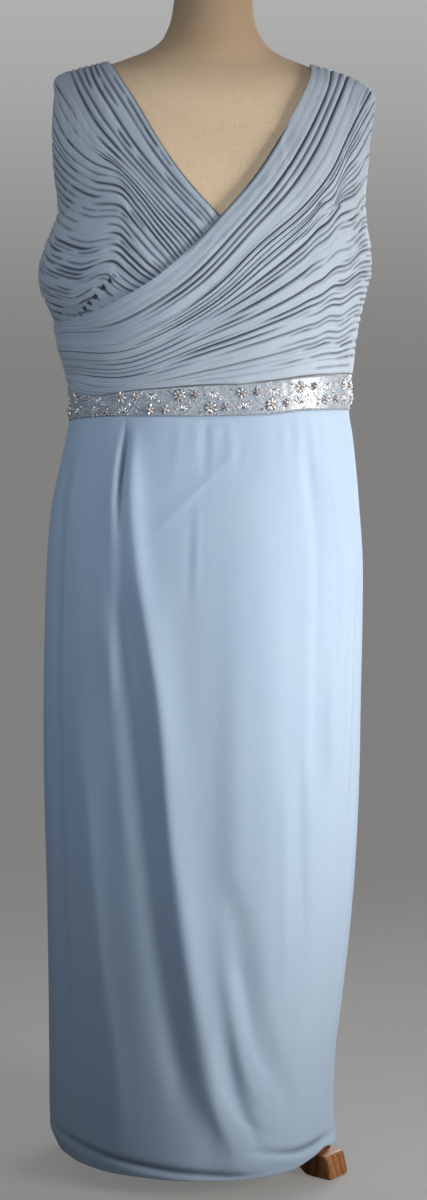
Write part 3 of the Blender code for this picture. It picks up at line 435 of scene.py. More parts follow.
def smooth(xs, ys, at):
    """A smooth curve through the points (xs, ys), read at the places given."""
    xs = np.asarray(xs, float)
    ys = np.asarray(ys, float)
    slopes = np.gradient(ys, xs)
    at = np.clip(at, xs[0], xs[-1])
    cell = np.clip(np.searchsorted(xs, at) - 1, 0, len(xs) - 2)
    width = xs[cell + 1] - xs[cell]
    part = (at - xs[cell]) / width
    square = part * part
    cube = square * part
    return (
        (2 * cube - 3 * square + 1) * ys[cell]
        + (cube - 2 * square + part) * width * slopes[cell]
        + (3 * square - 2 * cube) * ys[cell + 1]
        + (cube - square) * width * slopes[cell + 1]
    )


def smooth_step(low, high, value):
    """A soft step from 0 at the first value to 1 at the second, which may be the lower one."""
    part = np.clip((value - low) / (high - low), 0.0, 1.0)
    return part * part * (3 - 2 * part)


def bell(off, width):
    """A round bump, 1 in its middle and nearly 0 at twice its width."""
    return np.exp(-((off / width) ** 2))


def soft_noise(across, along, seed):
    """Smooth uneven values from -1 to 1, about one bump for each unit either way."""
    across, along = np.broadcast_arrays(across, along)
    low_a, low_b = np.floor(across), np.floor(along)
    part_a = smooth_step(0.0, 1.0, across - low_a)
    part_b = smooth_step(0.0, 1.0, along - low_b)

    def corner(a, b):
        return 2 * np.modf(np.abs(np.sin(a * 12.9898 + b * 78.233 + seed * 37.719) * 43758.5453))[0] - 1

    low = corner(low_a, low_b) * (1 - part_a) + corner(low_a + 1, low_b) * part_a
    high = corner(low_a, low_b + 1) * (1 - part_a) + corner(low_a + 1, low_b + 1) * part_a
    return low * (1 - part_b) + high * part_b


def read_table(table, column, at):
    """One column of a table, read smoothly at places in the table's first column."""
    return smooth([row[0] for row in table], [getattr(row, column) for row in table], at)


def section(column, z):
    return read_table(BODY[::-1], column, z)


def body_point(angle, z):
    """Points of the body surface at the angles and heights given, before any cloth."""
    turn = np.radians(angle)
    across = np.sin(turn)
    ahead = np.cos(turn)
    half_width = np.where(across < 0, section("left", z), section("right", z))
    depth = np.where(ahead > 0, section("front", z), section("back", z))
    square = section("square", z)
    scale = (np.abs(across) ** square + np.abs(ahead) ** square) ** (-1.0 / square)
    return np.stack([scale * half_width * across, -scale * depth * ahead, z + 0.0 * scale], axis=-1)


def body_normal(angle, z):
    """The direction outward from the body surface at the angles and heights given."""
    turn_step = 0.6
    rise_step = 0.0015
    along = body_point(angle + turn_step, z) - body_point(angle - turn_step, z)
    up = body_point(angle, z + rise_step) - body_point(angle, z - rise_step)
    normal = np.cross(along, up)
    return normal / np.linalg.norm(normal, axis=-1, keepdims=True)


def raised(angle, z, height):
    """The body surface moved out by the height along its own normal."""
    return body_point(angle, z) + body_normal(angle, z) * np.asarray(height)[..., None]


def side_angle(z, is_left, is_back):
    """How far a panel reaches round from its centre line at a height: 90 at the side seam, less
    along an armhole."""
    z = np.asarray(z, float)
    top, bottom, reach = (np.where(is_left, *pair) for pair in zip(LEFT_ARMHOLE, RIGHT_ARMHOLE))
    off_middle = (2 * z - top - bottom) / (top - bottom)
    opening = reach * np.clip(1 - off_middle**2, 0, 1) ** ARMHOLE_ROUND
    depth = section("back" if is_back else "front", z)
    square = section("square", z)
    share = np.clip(opening / depth, 0, 0.95)
    across = (1 - share**square) ** (1 / square)
    return np.degrees(np.arctan2(across, share))


def panel_angle(u, z, is_back):
    """The angle at a panel place u, from -1 at the left side edge to 1 at the right one."""
    turned = u * side_angle(z, u < 0, is_back)
    return 180.0 - turned if is_back else turned


def panel_place(x, z, is_back):
    """The panel place u of the points x across the body."""
    x = np.asarray(x, float)
    half_width = np.where(x < 0, section("left", z), section("right", z))
    square = section("square", z)
    share = np.minimum(np.abs(x) / half_width, 1 - 1e-12)
    turned = np.degrees(np.arctan((share**square / (1 - share**square)) ** (1 / square)))
    return np.copysign(np.minimum(turned / side_angle(z, x < 0, is_back), 1.0), x)


def side_edge(z, side, is_back):
    """How far across the body a panel's side edge lies, at the heights given."""
    u = np.full_like(np.asarray(z, float), side)
    return body_point(panel_angle(u, z, is_back), z)[..., 0]


def run_of(points):
    """Distances along a line of points, from its start."""
    return np.concatenate([[0.0], np.cumsum(np.linalg.norm(np.diff(points, axis=0), axis=1))])


def columns_of(count, crowding=0.35):
    """Places from 0 to 1, closer together at both ends."""
    even = np.linspace(0, 1, count + 1)
    return (1 - crowding) * even + crowding * (1 - np.cos(np.pi * even)) / 2


def follow(x, z, places, is_back):
    """Panel places and heights along the pleat through the points given, at shares of its length."""
    knots = body_point(panel_angle(panel_place(x, z, is_back), z, is_back), z)
    run = run_of(knots)
    fine = np.linspace(0, run[-1], TRACE_POINTS)
    fine_z = smooth(run, z, fine)
    fine_u = panel_place(smooth(run, x, fine), fine_z, is_back)
    length = run_of(body_point(panel_angle(fine_u, fine_z, is_back), fine_z))
    at = np.interp(places * length[-1], length, fine)
    return np.interp(at, fine, fine_u), np.interp(at, fine, fine_z)


def pleat_rows(pleats, seed):
    """Places of the mesh rows. The valleys are the solid's, so that the cloth lies on its form."""
    draw = random.Random(seed)
    valleys = [0.0]
    valleys += [(i + draw.uniform(-0.16, 0.16)) / pleats for i in range(1, pleats)]
    valleys.append(1.0)
    rows = []
    for low, high in zip(valleys, valleys[1:]):
        rows += [low + share * (high - low) for share in PLEAT_SHARES]
    rows.append(1.0)
    return np.array(rows)


def spread(guides, rows, columns, is_back):
    """Grids of panel place and height: one row for each pleat row, between the guide pleats."""
    places = [guide.place for guide in guides]
    across = []
    heights = []
    for line in range(len(guides[0].path)):
        x = np.array([guide.path[line][0] for guide in guides])
        z = smooth(places, [guide.path[line][1] for guide in guides], rows)
        heights.append(z)
        if abs(x[0]) >= SIDE:
            across.append(side_edge(z, math.copysign(1.0, x[0]), is_back))
        else:
            across.append(smooth(places, x, rows))
    traces = [
        follow(x, z, columns, is_back) for x, z in zip(np.transpose(across), np.transpose(heights))
    ]
    return tuple(np.array(part) for part in zip(*traces))


def waist(column, angle):
    return read_table(WAIST, column, angle)


def waist_guide(guides):
    """A last guide pleat under the one before it, roughly where the waistband's upper edge is."""
    return Guide(1.0, tuple((x, WAIST_ABOUT) for x, _ in guides[-1].path))


def settle_on_waist(u, z, rows, is_back):
    """Heights of the rows near a bodice panel's lower edge, moved so that the last lies on the seam."""
    last = waist("top", panel_angle(u[-1], z[-1], is_back)) + WAIST_GAP
    return z + (last - z[-1]) * smooth_step(SETTLE_FROM, 1.0, rows)[:, None]


def keep_seam_gap(u, z, is_back):
    """Panel places drawn in a little, so that two panels leave the seam's gap between them."""
    depth = section("back" if is_back else "front", z)
    limit = 1 - np.degrees(SEAM_GAP / 2 / depth) / 90.0
    return np.clip(u, -limit, limit)


def wrap_edge(u):
    """Height of the upper wrap's edge at a front place u, from the side seam to the shoulder."""
    edge_u, edge_z = spread(OVER_GUIDES, np.zeros(1), np.linspace(0, 1, 160), False)
    return np.interp(u, edge_u[0, ::-1], edge_z[0, ::-1])


def pleated(points, cut, middle_cut, seed):
    """Heights of the outer points, and how deep in a fold each lies, from 0 on a crown to 1, which sets the
    painted shade in the folds.

    Cut holds how deep each valley is at each column: at 1 it goes down to the ground, and at 0 two
    pleats run into one. Middle_cut does the same for the crease along the middle of a wide pleat."""
    draw = random.Random(seed)
    pleats = (len(points) - 1) // INNER_STEP
    columns = np.linspace(0, 1, points.shape[1])
    width = np.linalg.norm(points[INNER_STEP::INNER_STEP] - points[:-1:INNER_STEP], axis=2)
    cut = cut.copy()
    around = (width[:-1] + width[1:]) / 2
    cut[1:-1:2] *= smooth_step(NARROW_PLEAT, 1.5 * NARROW_PLEAT, around[::2])
    held = 0.45 + 0.55 * smooth_step(0.0, 0.06, columns) * smooth_step(1.0, 0.94, columns)
    crown = np.empty_like(width)
    for pleat in range(pleats):
        wave = 0.84 + 0.16 * np.sin(2 * math.pi * (draw.uniform(1.0, 2.6) * columns + draw.random()))
        crown[pleat] = np.minimum(PLEAT_HEIGHT, PLEAT_STEEPNESS * width[pleat])
        crown[pleat] *= wave * held * draw.uniform(0.74, 1.0)
    meet = np.concatenate([crown[:1], (crown[:-1] + crown[1:]) / 2, crown[-1:]])
    relief = np.zeros(points.shape[:2])
    fold = np.zeros(points.shape[:2])
    for pleat in range(pleats):
        soft_side = np.minimum(VALLEY_SOFT_SIDE, 0.34 * width[pleat])
        sharp_side = np.minimum(VALLEY_SHARP_SIDE, 0.18 * width[pleat])
        creased = middle_cut[pleat] * smooth_step(0.8 * WIDE_PLEAT, 1.35 * WIDE_PLEAT, width[pleat])
        for step, share in enumerate(PLEAT_SHARES):
            ground = meet[pleat] * (1 - share) + meet[pleat + 1] * share
            rise = (crown[pleat] - (meet[pleat] + meet[pleat + 1]) / 2) * math.sin(math.pi * share)
            above = cut[pleat] * bell(share * width[pleat], soft_side)
            below = cut[pleat + 1] * bell((1 - share) * width[pleat], sharp_side)
            side = soft_side if share > 0.5 else sharp_side
            middle = creased * bell((share - 0.5) * width[pleat], side)
            row = pleat * INNER_STEP + step
            round_top = 0.14 * crown[pleat] * (math.sin(math.pi * share) - 0.6)
            level = ground + rise + round_top
            relief[row] = level - meet[pleat] * above - meet[pleat + 1] * below - 0.8 * crown[pleat] * middle
            fold[row] = np.clip(above + below + 0.9 * middle, 0, 1)
    relief[-1] = meet[-1] * (1 - cut[-1])
    fold[-1] = cut[-1]
    run = np.linalg.norm(np.diff(points, axis=1), axis=2).sum(axis=1).mean()
    rows = np.arange(len(points))[:, None] / INNER_STEP
    relief *= 1 + 0.20 * soft_noise(columns * run / 0.021, rows * 1.1, seed)
    relief *= 1 + 0.10 * soft_noise(columns * run / 0.008, rows * 1.7, seed + 1)
    return np.maximum(relief, 0.0), fold


def strokes(count, columns, seed, longest, shortest, chance):
    """Strengths from 0 to 1 of creases that start and stop along each of several lines."""
    draw = random.Random(seed)
    strengths = np.zeros((count, len(columns)))
    for line in range(count):
        at = draw.uniform(-shortest, shortest)
        while at < 1:
            run = draw.uniform(shortest, longest)
            if draw.random() < chance:
                fade = 0.30 * run
                stroke = smooth_step(at, at + fade, columns) * smooth_step(at + run, at + run - fade, columns)
                strengths[line] = np.maximum(strengths[line], draw.uniform(0.55, 1.0) * stroke)
            at += run * draw.uniform(0.55, 1.0)
    return strengths


def hold(strengths, columns, rows):
    """Sets how far some creases go between two shares of their length, by rows like UNDER_HOLDS."""
    for kept, low, high, lines, value in rows:
        window = smooth_step(low - 0.04, low + 0.04, columns) * smooth_step(high + 0.04, high - 0.04, columns)
        for line in lines:
            strengths[line] = strengths[line] * (1 - window * (1 - kept)) + window * value


def across_and_along(points):
    """Distances in metres over a grid of points, along its rows and across them."""
    along = np.linalg.norm(np.diff(points, axis=1), axis=2).cumsum(axis=1)
    along = np.concatenate([np.zeros((len(points), 1)), along], axis=1)
    across = np.linalg.norm(np.diff(points, axis=0), axis=2).mean(axis=1).cumsum()
    across = np.concatenate([[0.0], across])
    return along - along[:, -1:] / 2, np.broadcast_to(across[:, None], along.shape)


def link_object(name, data):
    piece = bpy.data.objects.new(name, data)
    bpy.context.scene.collection.objects.link(piece)
    return piece


def make_mesh_piece(name, points, faces, material, places=None, folds=None):
    """A piece whose place is in its mesh, with places in metres as its UV map and folds as an attribute, the
    mask for painted shade."""
    mesh = bpy.data.meshes.new(name)
    mesh.from_pydata((np.asarray(points, float) + FORM_AXIS).tolist(), [], faces)
    if places is not None:
        layer = mesh.uv_layers.new(name="cloth_places")
        corners = np.empty(len(mesh.loops), np.int32)
        mesh.loops.foreach_get("vertex_index", corners)
        layer.data.foreach_set("uv", np.asarray(places, np.float32)[corners].ravel())
    if folds is not None:
        attribute = mesh.attributes.new("fold", "FLOAT", "POINT")
        attribute.data.foreach_set("value", np.asarray(folds, np.float32))
    mesh.materials.append(material)
    face_outwards(mesh)
    mesh.shade_smooth()
    return link_object(name, mesh)


def face_outwards(mesh):
    work = bmesh.new()
    work.from_mesh(mesh)
    bmesh.ops.recalc_face_normals(work, faces=work.faces)
    if work.calc_volume(signed=True) < 0:
        bmesh.ops.reverse_faces(work, faces=work.faces)
    work.to_mesh(mesh)
    work.free()


def grid_faces(rows, columns, start=0, closed=False, inward=False):
    """Faces between the rows of a grid of points, numbered from start. A closed row ends at its
    own first point."""
    faces = []
    for row in range(rows - 1):
        for column in range(columns if closed else columns - 1):
            a = start + row * columns + column
            b = start + row * columns + (column + 1) % columns
            face = (a, b, b + columns, a + columns)
            faces.append((face[0], *face[:0:-1]) if inward else face)
    return faces


def tube_faces(rows, columns):
    """Faces of a tube of closed rows, with a lid at both ends."""
    last = (rows - 1) * columns
    lids = [tuple(range(columns)), tuple(range(last, last + columns))]
    return grid_faces(rows, columns, closed=True) + lids


def make_cloth(name, angle, z, lift, relief, fold, thickness, inner_step, material, close_rows=0):
    """A closed thin wall of cloth. Its outer points carry the relief over a plainer inside.

    The inside has every row up to close_rows, and one in inner_step beyond."""
    rows, columns = angle.shape
    outer = raised(angle, z, lift + thickness + relief)
    kept = [row for row in range(rows) if row < close_rows or row % inner_step == 0]
    if kept[-1] != rows - 1:
        kept.append(rows - 1)
    inner = raised(angle[kept], z[kept], lift[kept] + np.minimum(relief[kept], 0))
    along, across = across_and_along(outer)
    places = np.stack([along, across], axis=-1)
    base = rows * columns
    faces = grid_faces(rows, columns) + grid_faces(len(kept), columns, base, inward=True)
    for outer_row, inner_row in ((0, 0), (rows - 1, len(kept) - 1)):
        for c in range(columns - 1):
            a = outer_row * columns + c
            b = base + inner_row * columns + c
            faces.append((a, a + 1, b + 1, b))
    for c in (0, columns - 1):
        for q, (low, high) in enumerate(zip(kept, kept[1:])):
            near = base + q * columns + c
            far = near + columns
            half = low + (high - low + 1) // 2
            for row in range(low, high):
                a = row * columns + c
                faces.append((a, a + columns, near if row < half else far))
            faces.append((near, half * columns + c, far))
    points = np.concatenate([outer.reshape(-1, 3), inner.reshape(-1, 3)])
    places = np.concatenate([places.reshape(-1, 2), places[kept].reshape(-1, 2)])
    # The inside gets a fold value of 0.5: painted shade part way toward the fold colour.
    folds = np.concatenate([fold.ravel(), np.full(len(kept) * columns, 0.5)])
    return make_mesh_piece(name, points, faces, material, places, folds)


def fold_relief(folds, angle, z):
    """The sum of all folds at the places given. A fold fades out at both its ends, and one that
    reaches the hem runs on over it."""
    total = np.zeros_like(z)
    around = math.radians(1.0) * FOLD_RADIUS
    for fold in folds:
        angles, heights = zip(*reversed(fold.path))
        off = (angle - smooth(heights, angles, z)) * around
        fade = smooth_step(heights[-1] + 0.03, heights[-1] - 0.06, z)
        if heights[0] > 0.05:
            fade = fade * smooth_step(heights[0] - 0.03, heights[0] + 0.08, z)
        total += fold.height * fade * bell(off, fold.half_width)
    return total


# Materials

def new_group(name, inputs, outputs):
    """An empty shader node group with float inputs (name, default) and float outputs (name)."""
    group = bpy.data.node_groups.new(name, "ShaderNodeTree")
    for label, value in inputs:
        socket = group.interface.new_socket(name=label, in_out="INPUT", socket_type="NodeSocketFloat")
        socket.default_value = value
    for label in outputs:
        group.interface.new_socket(name=label, in_out="OUTPUT", socket_type="NodeSocketFloat")
    return group, group.nodes.new("NodeGroupInput"), group.nodes.new("NodeGroupOutput")


def link_node(tree, kind, inputs=(), **settings):
    """Adds a node, with its settings, and values or links for its inputs by name or number."""
    node = tree.nodes.new(kind)
    for key, value in settings.items():
        setattr(node, key, value)
    for key, value in dict(inputs).items():
        if isinstance(value, bpy.types.NodeSocket):
            tree.links.new(value, node.inputs[key])
        else:
            node.inputs[key].default_value = value
    return node


def calculate(tree, operation, first, second=0.5, **settings):
    values = {0: first, 1: second}
    return link_node(tree, "ShaderNodeMath", values, operation=operation, **settings).outputs[0]


def map_range(tree, value, low, high, to_low=0.0, to_high=1.0, **settings):
    ends = {"Value": value, "From Min": low, "From Max": high, "To Min": to_low, "To Max": to_high}
    return link_node(tree, "ShaderNodeMapRange", ends, **settings).outputs[0]


def noise(tree, place, size, detail):
    values = {"Vector": place, "Scale": size, "Detail": detail}
    return link_node(tree, "ShaderNodeTexNoise", values).outputs[0]


def mix_colours(tree, factor, first, second):
    """A blend of two colours, each a socket or three numbers."""
    values = {0: factor, 6: first, 7: second}
    for key in (6, 7):
        if isinstance(values[key], tuple):
            values[key] = (*values[key], 1.0)
    return link_node(tree, "ShaderNodeMix", values, data_type="RGBA").outputs[2]


def tint(tree, colour, factor):
    return link_node(tree, "ShaderNodeVectorMath", {0: colour, 1: factor}, operation="MULTIPLY").outputs[0]


def weave_group():
    """Threads both ways on the UV map, with slubs: a height, and a mask of thicker threads."""
    name = "woven_threads"
    if name in bpy.data.node_groups:
        return bpy.data.node_groups[name]
    inputs = (("Threads per Metre", 1600.0), ("Slub Size", 220.0), ("Crinkle Size", 500.0), ("Crinkle", 0.5))
    tree, source, result = new_group(name, inputs, ("Height", "Slubs"))
    places = link_node(tree, "ShaderNodeUVMap", uv_map="cloth_places").outputs[0]
    split = link_node(tree, "ShaderNodeSeparateXYZ", {0: places})
    waves = []
    slubs = []
    for axis, stretch in enumerate(((1.0, 0.09, 1.0), (0.09, 1.0, 1.0))):
        turned = calculate(tree, "MULTIPLY", split.outputs[axis], source.outputs["Threads per Metre"])
        wave = calculate(tree, "SINE", calculate(tree, "MULTIPLY", turned, 2 * math.pi))
        waves.append(calculate(tree, "ABSOLUTE", wave))
        mapped = link_node(tree, "ShaderNodeMapping", {"Vector": places, "Scale": stretch}).outputs[0]
        slubs.append(noise(tree, mapped, source.outputs["Slub Size"], 1.0))
    weave = calculate(tree, "MAXIMUM", *waves)
    crinkle = noise(tree, places, source.outputs["Crinkle Size"], 2.0)
    bumps = calculate(tree, "MULTIPLY", crinkle, source.outputs["Crinkle"])
    thick = calculate(tree, "MULTIPLY", calculate(tree, "ADD", *slubs), 0.5)
    total = calculate(tree, "ADD", calculate(tree, "ADD", weave, bumps), thick)
    tree.links.new(total, result.inputs["Height"])
    tree.links.new(thick, result.inputs["Slubs"])
    return tree


def shade_group():
    """A soft uneven tone over a piece, for dye, age and handling, between 0 and 1."""
    name = "uneven_tone"
    if name in bpy.data.node_groups:
        return bpy.data.node_groups[name]
    tree, source, result = new_group(name, (("Size", 9.0), ("Contrast", 1.0)), ("Tone",))
    place = link_node(tree, "ShaderNodeTexCoord").outputs["Object"]
    centred = calculate(tree, "SUBTRACT", noise(tree, place, source.outputs["Size"], 3.0), 0.5)
    contrasted = calculate(tree, "MULTIPLY", centred, source.outputs["Contrast"])
    tree.links.new(calculate(tree, "ADD", contrasted, 0.5, use_clamp=True), result.inputs["Tone"])
    return tree


def weave_of(tree, threads, slub_size, crinkle_size, crinkle):
    node = link_node(tree, "ShaderNodeGroup", node_tree=weave_group())
    for socket, value in zip(node.inputs, (threads, slub_size, crinkle_size, crinkle)):
        socket.default_value = value
    return node


def tone_of(tree, size, contrast):
    values = {"Size": size, "Contrast": contrast}
    return link_node(tree, "ShaderNodeGroup", values, node_tree=shade_group()).outputs[0]


def own_colour(name):
    """One of the colours that a user may change."""
    return tuple(getattr(bpy.context.scene.gown_colours, name))


def new_material(name, **values):
    """A material with its tree and its Principled shader, whose plain values are set by name."""
    material = bpy.data.materials.new(name)
    material.use_nodes = True
    shader = material.node_tree.nodes["Principled BSDF"]
    for key, value in values.items():
        shader.inputs[key.replace("_", " ").title().replace("Ior", "IOR")].default_value = value
    return material, material.node_tree, shader


def finish_shader(tree, shader, colour, height=None, strength=1.0, distance=0.0):
    """Links a colour and, where a height is given, a bump from it to the shader."""
    tree.links.new(colour, shader.inputs["Base Color"])
    if height is not None:
        values = {"Height": height, "Strength": strength, "Distance": distance}
        bump = link_node(tree, "ShaderNodeBump", values)
        tree.links.new(bump.outputs[0], shader.inputs["Normal"])


def chiffon_material(name, ground):
    """Crinkled chiffon over a plain ground: paler on the crowns, and darker where it is folded, which is
    mostly painted shade and partly the deeper tone of cloth lying in layers.
    """
    material, tree, shader = new_material(
        name, roughness=0.78, sheen_weight=0.30, sheen_roughness=0.40, sheen_tint=(0.82, 0.90, 1.0, 1.0),
        specular_ior_level=0.30,
    )
    fold = link_node(tree, "ShaderNodeAttribute", attribute_name="fold")
    depth = map_range(tree, fold.outputs["Fac"], 0.08, 0.85)
    weave = weave_of(tree, 1300.0, 420.0, 800.0, 1.6)
    mottled = mix_colours(tree, tone_of(tree, 7.0, 1.4), own_colour(ground), own_colour(ground + "_cool"))
    # Painted shade: the fold mask darkens the colour toward the fold colour in the valleys.
    deep = mix_colours(tree, depth, mottled, own_colour("chiffon_fold_shade"))
    tinted = tint(tree, deep, map_range(tree, weave.outputs["Slubs"], 0.3, 0.7, 0.97, 1.02))
    finish_shader(tree, shader, tinted, weave.outputs["Height"], 0.14, 0.0005)
    return material


def net_material(name):
    """Fine net over the same ground, speckled with small sequins."""
    material, tree, shader = new_material(
        name, roughness=0.36, sheen_weight=0.2, sheen_roughness=0.4, specular_ior_level=1.0
    )
    places = link_node(tree, "ShaderNodeUVMap", uv_map="cloth_places").outputs[0]
    values = {"Vector": places, "Scale": 560.0, "Randomness": 0.8}
    cells = link_node(tree, "ShaderNodeTexVoronoi", values, feature="F1")
    sequins = map_range(tree, cells.outputs[0], 0.42, 0.30)
    ground = mix_colours(tree, tone_of(tree, 200.0, 2.4), own_colour("net"), (0.20, 0.245, 0.32))
    bright = mix_colours(tree, cells.outputs["Color"], own_colour("net_thread"), (0.16, 0.19, 0.25))
    finish_shader(tree, shader, mix_colours(tree, sequins, ground, bright), sequins, 0.6, 0.0006)
    return material


def linen_material(name):
    """Plain linen with slubs both ways, with painted shade darkening it toward the top of the neck."""
    material, tree, shader = new_material(name, roughness=0.88, sheen_weight=0.15, sheen_roughness=0.5)
    weave = weave_of(tree, 950.0, 620.0, 500.0, 0.6)
    ground = mix_colours(tree, tone_of(tree, 7.0, 1.5), own_colour("linen"), own_colour("linen_dark"))
    tinted = tint(tree, ground, map_range(tree, weave.outputs["Slubs"], 0.35, 0.65, 0.90, 1.06))
    place = link_node(tree, "ShaderNodeTexCoord")
    split = link_node(tree, "ShaderNodeSeparateXYZ", {0: place.outputs["Object"]})
    # Painted shade: the linen darkens toward the top of the neck.
    neck = map_range(tree, split.outputs[2], 1.385, 1.50, 0.0, 0.95, interpolation_type="SMOOTHSTEP")
    darkened = mix_colours(tree, neck, tinted, own_colour("linen_neck_shade"))
    finish_shader(tree, shader, darkened, weave.outputs["Height"], 0.22, 0.0006)
    return material


def wood_material(name):
    """Varnished beech with long grain and small dark flecks."""
    material, tree, shader = new_material(name, roughness=0.46, coat_weight=0.2, coat_roughness=0.40)
    place = link_node(tree, "ShaderNodeTexCoord")
    values = {"Vector": place.outputs["Object"], "Scale": (1.0, 1.0, 0.22)}
    mapped = link_node(tree, "ShaderNodeMapping", values).outputs[0]
    values = {"Vector": mapped, "Scale": 34.0, "Distortion": 7.0, "Detail": 3.0, "Detail Scale": 1.4}
    rings = link_node(tree, "ShaderNodeTexWave", values, wave_type="RINGS", rings_direction="X")
    flecks = noise(tree, mapped, 420.0, 2.0)
    grain = mix_colours(tree, rings.outputs["Fac"], own_colour("wood"), own_colour("wood_dark"))
    marked = mix_colours(tree, map_range(tree, flecks, 0.55, 0.72), grain, own_colour("wood_dark"))
    finish_shader(tree, shader, marked, flecks, 0.12, 0.0005)
    return material


def bead_material(name, colour, metallic, roughness, spread_of_tone=0.25):
    """Glass or metal beads, each a little lighter or darker than the next."""
    material, tree, shader = new_material(name, roughness=roughness, metallic=metallic, coat_weight=0.8)
    darker = tuple(channel * (1 - 2 * spread_of_tone) for channel in colour)
    finish_shader(tree, shader, mix_colours(tree, tone_of(tree, 260.0, 3.0), darker, colour))
    return material


def floor_material(name):
    """A plain pale floor that looks a little brighter than its light alone makes it."""
    material, tree, shader = new_material(name, roughness=0.7, emission_color=(1.0, 0.99, 0.97, 1.0))
    colour = mix_colours(tree, tone_of(tree, 1.5, 0.3), (0.21, 0.208, 0.202), (0.23, 0.228, 0.222))
    finish_shader(tree, shader, colour)
    seen = link_node(tree, "ShaderNodeLightPath")
    glow = calculate(tree, "MULTIPLY", seen.outputs["Is Camera Ray"], FLOOR_SHOWN)
    tree.links.new(glow, shader.inputs["Emission Strength"])
    material.cycles.emission_sampling = "NONE"
    return material


# The maker of each material, and what it needs besides the name
MATERIALS = {
    # The bodice's darker ground is partly painted shade among the pleats.
    "bodice_chiffon": (chiffon_material, "pleats"),
    "skirt_chiffon": (chiffon_material, "chiffon"),
    "gown_net": (net_material,),
    "form_linen": (linen_material,),
    "stand_wood": (wood_material,),
    "studio_floor": (floor_material,),
    "bead_crystal": (bead_material, (0.86, 0.87, 0.90), 0.35, 0.12, 0.10),
    "bead_silver": (bead_material, (0.66, 0.69, 0.74), 0.55, 0.26),
    "bead_rose": (bead_material, (0.52, 0.42, 0.40), 0.35, 0.22),
    "bead_dark": (bead_material, (0.10, 0.11, 0.14), 0.4, 0.20),
    "sewing_thread": (bead_material, (0.42, 0.50, 0.62), 0.0, 0.7),
}


def material_of(name):
    """The material of that name, which is made when it is first wanted."""
    if name not in bpy.data.materials:
        maker, *values = MATERIALS[name]
        maker(name, *values)
    return bpy.data.materials[name]


# Beads and stitches

BEAD_MESHES = {
    "round": ("GeometryNodeMeshUVSphere", {"Segments": 6, "Rings": 4, "Radius": 0.5}),
    "cut": ("GeometryNodeMeshIcoSphere", {"Subdivisions": 2, "Radius": 0.5}),
}


def bead_tree(shape):
    """Geometry nodes that put one bead on every point, by its size and turn attributes."""
    name = f"sew_on_{shape}"
    if name in bpy.data.node_groups:
        return bpy.data.node_groups[name]
    tree = bpy.data.node_groups.new(name, "GeometryNodeTree")
    for label, in_out, kind in (
        ("Geometry", "INPUT", "NodeSocketGeometry"),
        ("Bead Size", "INPUT", "NodeSocketFloat"),
        ("Finish", "INPUT", "NodeSocketMaterial"),
        ("Geometry", "OUTPUT", "NodeSocketGeometry"),
    ):
        tree.interface.new_socket(name=label, in_out=in_out, socket_type=kind)
    source = tree.nodes.new("NodeGroupInput")
    result = tree.nodes.new("NodeGroupOutput")
    bead = link_node(tree, *BEAD_MESHES[shape])
    turn, size = (
        link_node(tree, "GeometryNodeInputNamedAttribute", {"Name": label}, data_type="FLOAT_VECTOR")
        for label in ("turn", "size")
    )
    values = {0: size.outputs[0], "Scale": source.outputs["Bead Size"]}
    scaled = link_node(tree, "ShaderNodeVectorMath", values, operation="SCALE")
    turned = link_node(tree, "FunctionNodeEulerToRotation", {0: turn.outputs[0]})
    values = {
        "Points": source.outputs["Geometry"],
        "Instance": bead.outputs["Mesh"],
        "Rotation": turned.outputs[0],
        "Scale": scaled.outputs[0],
    }
    sewn = link_node(tree, "GeometryNodeInstanceOnPoints", values)
    real = link_node(tree, "GeometryNodeRealizeInstances", {"Geometry": sewn.outputs[0]})
    values = {"Geometry": real.outputs[0], "Material": source.outputs["Finish"]}
    finished = link_node(tree, "GeometryNodeSetMaterial", values)
    tree.links.new(finished.outputs[0], result.inputs[0])
    return tree


def sew_on(name, shape, material, points, turns, sizes):
    """A piece of realised beads at the points, each with its own turn and size."""
    mesh = bpy.data.meshes.new(name + "_points")
    mesh.from_pydata((np.asarray(points, float) + FORM_AXIS).tolist(), [], [])
    for label, values in (("turn", turns), ("size", sizes)):
        attribute = mesh.attributes.new(label, "FLOAT_VECTOR", "POINT")
        attribute.data.foreach_set("vector", np.asarray(values, np.float32).ravel())
    helper = link_object(name + "_points", mesh)
    modifier = helper.modifiers.new("beads", "NODES")
    modifier.node_group = bead_tree(shape)
    items = modifier.node_group.interface.items_tree
    sockets = {item.name: item.identifier for item in items if item.in_out == "INPUT"}
    modifier[sockets["Bead Size"]] = bpy.context.scene.gown_sizes.bead_scale
    modifier[sockets["Finish"]] = material
    graph = bpy.context.evaluated_depsgraph_get()
    beads = bpy.data.meshes.new_from_object(helper.evaluated_get(graph), depsgraph=graph)
    beads.name = name
    helper.modifiers.remove(modifier)
    bpy.data.objects.remove(helper)
    return link_object(name, beads)


def turn_of(tangent, normal):
    """The Euler turn whose X lies along the tangent and whose Z stands along the normal."""
    z = Vector(normal).normalized()
    y = z.cross(Vector(tangent)).normalized()
    x = y.cross(z)
    return Matrix((x, y, z)).transposed().to_euler()


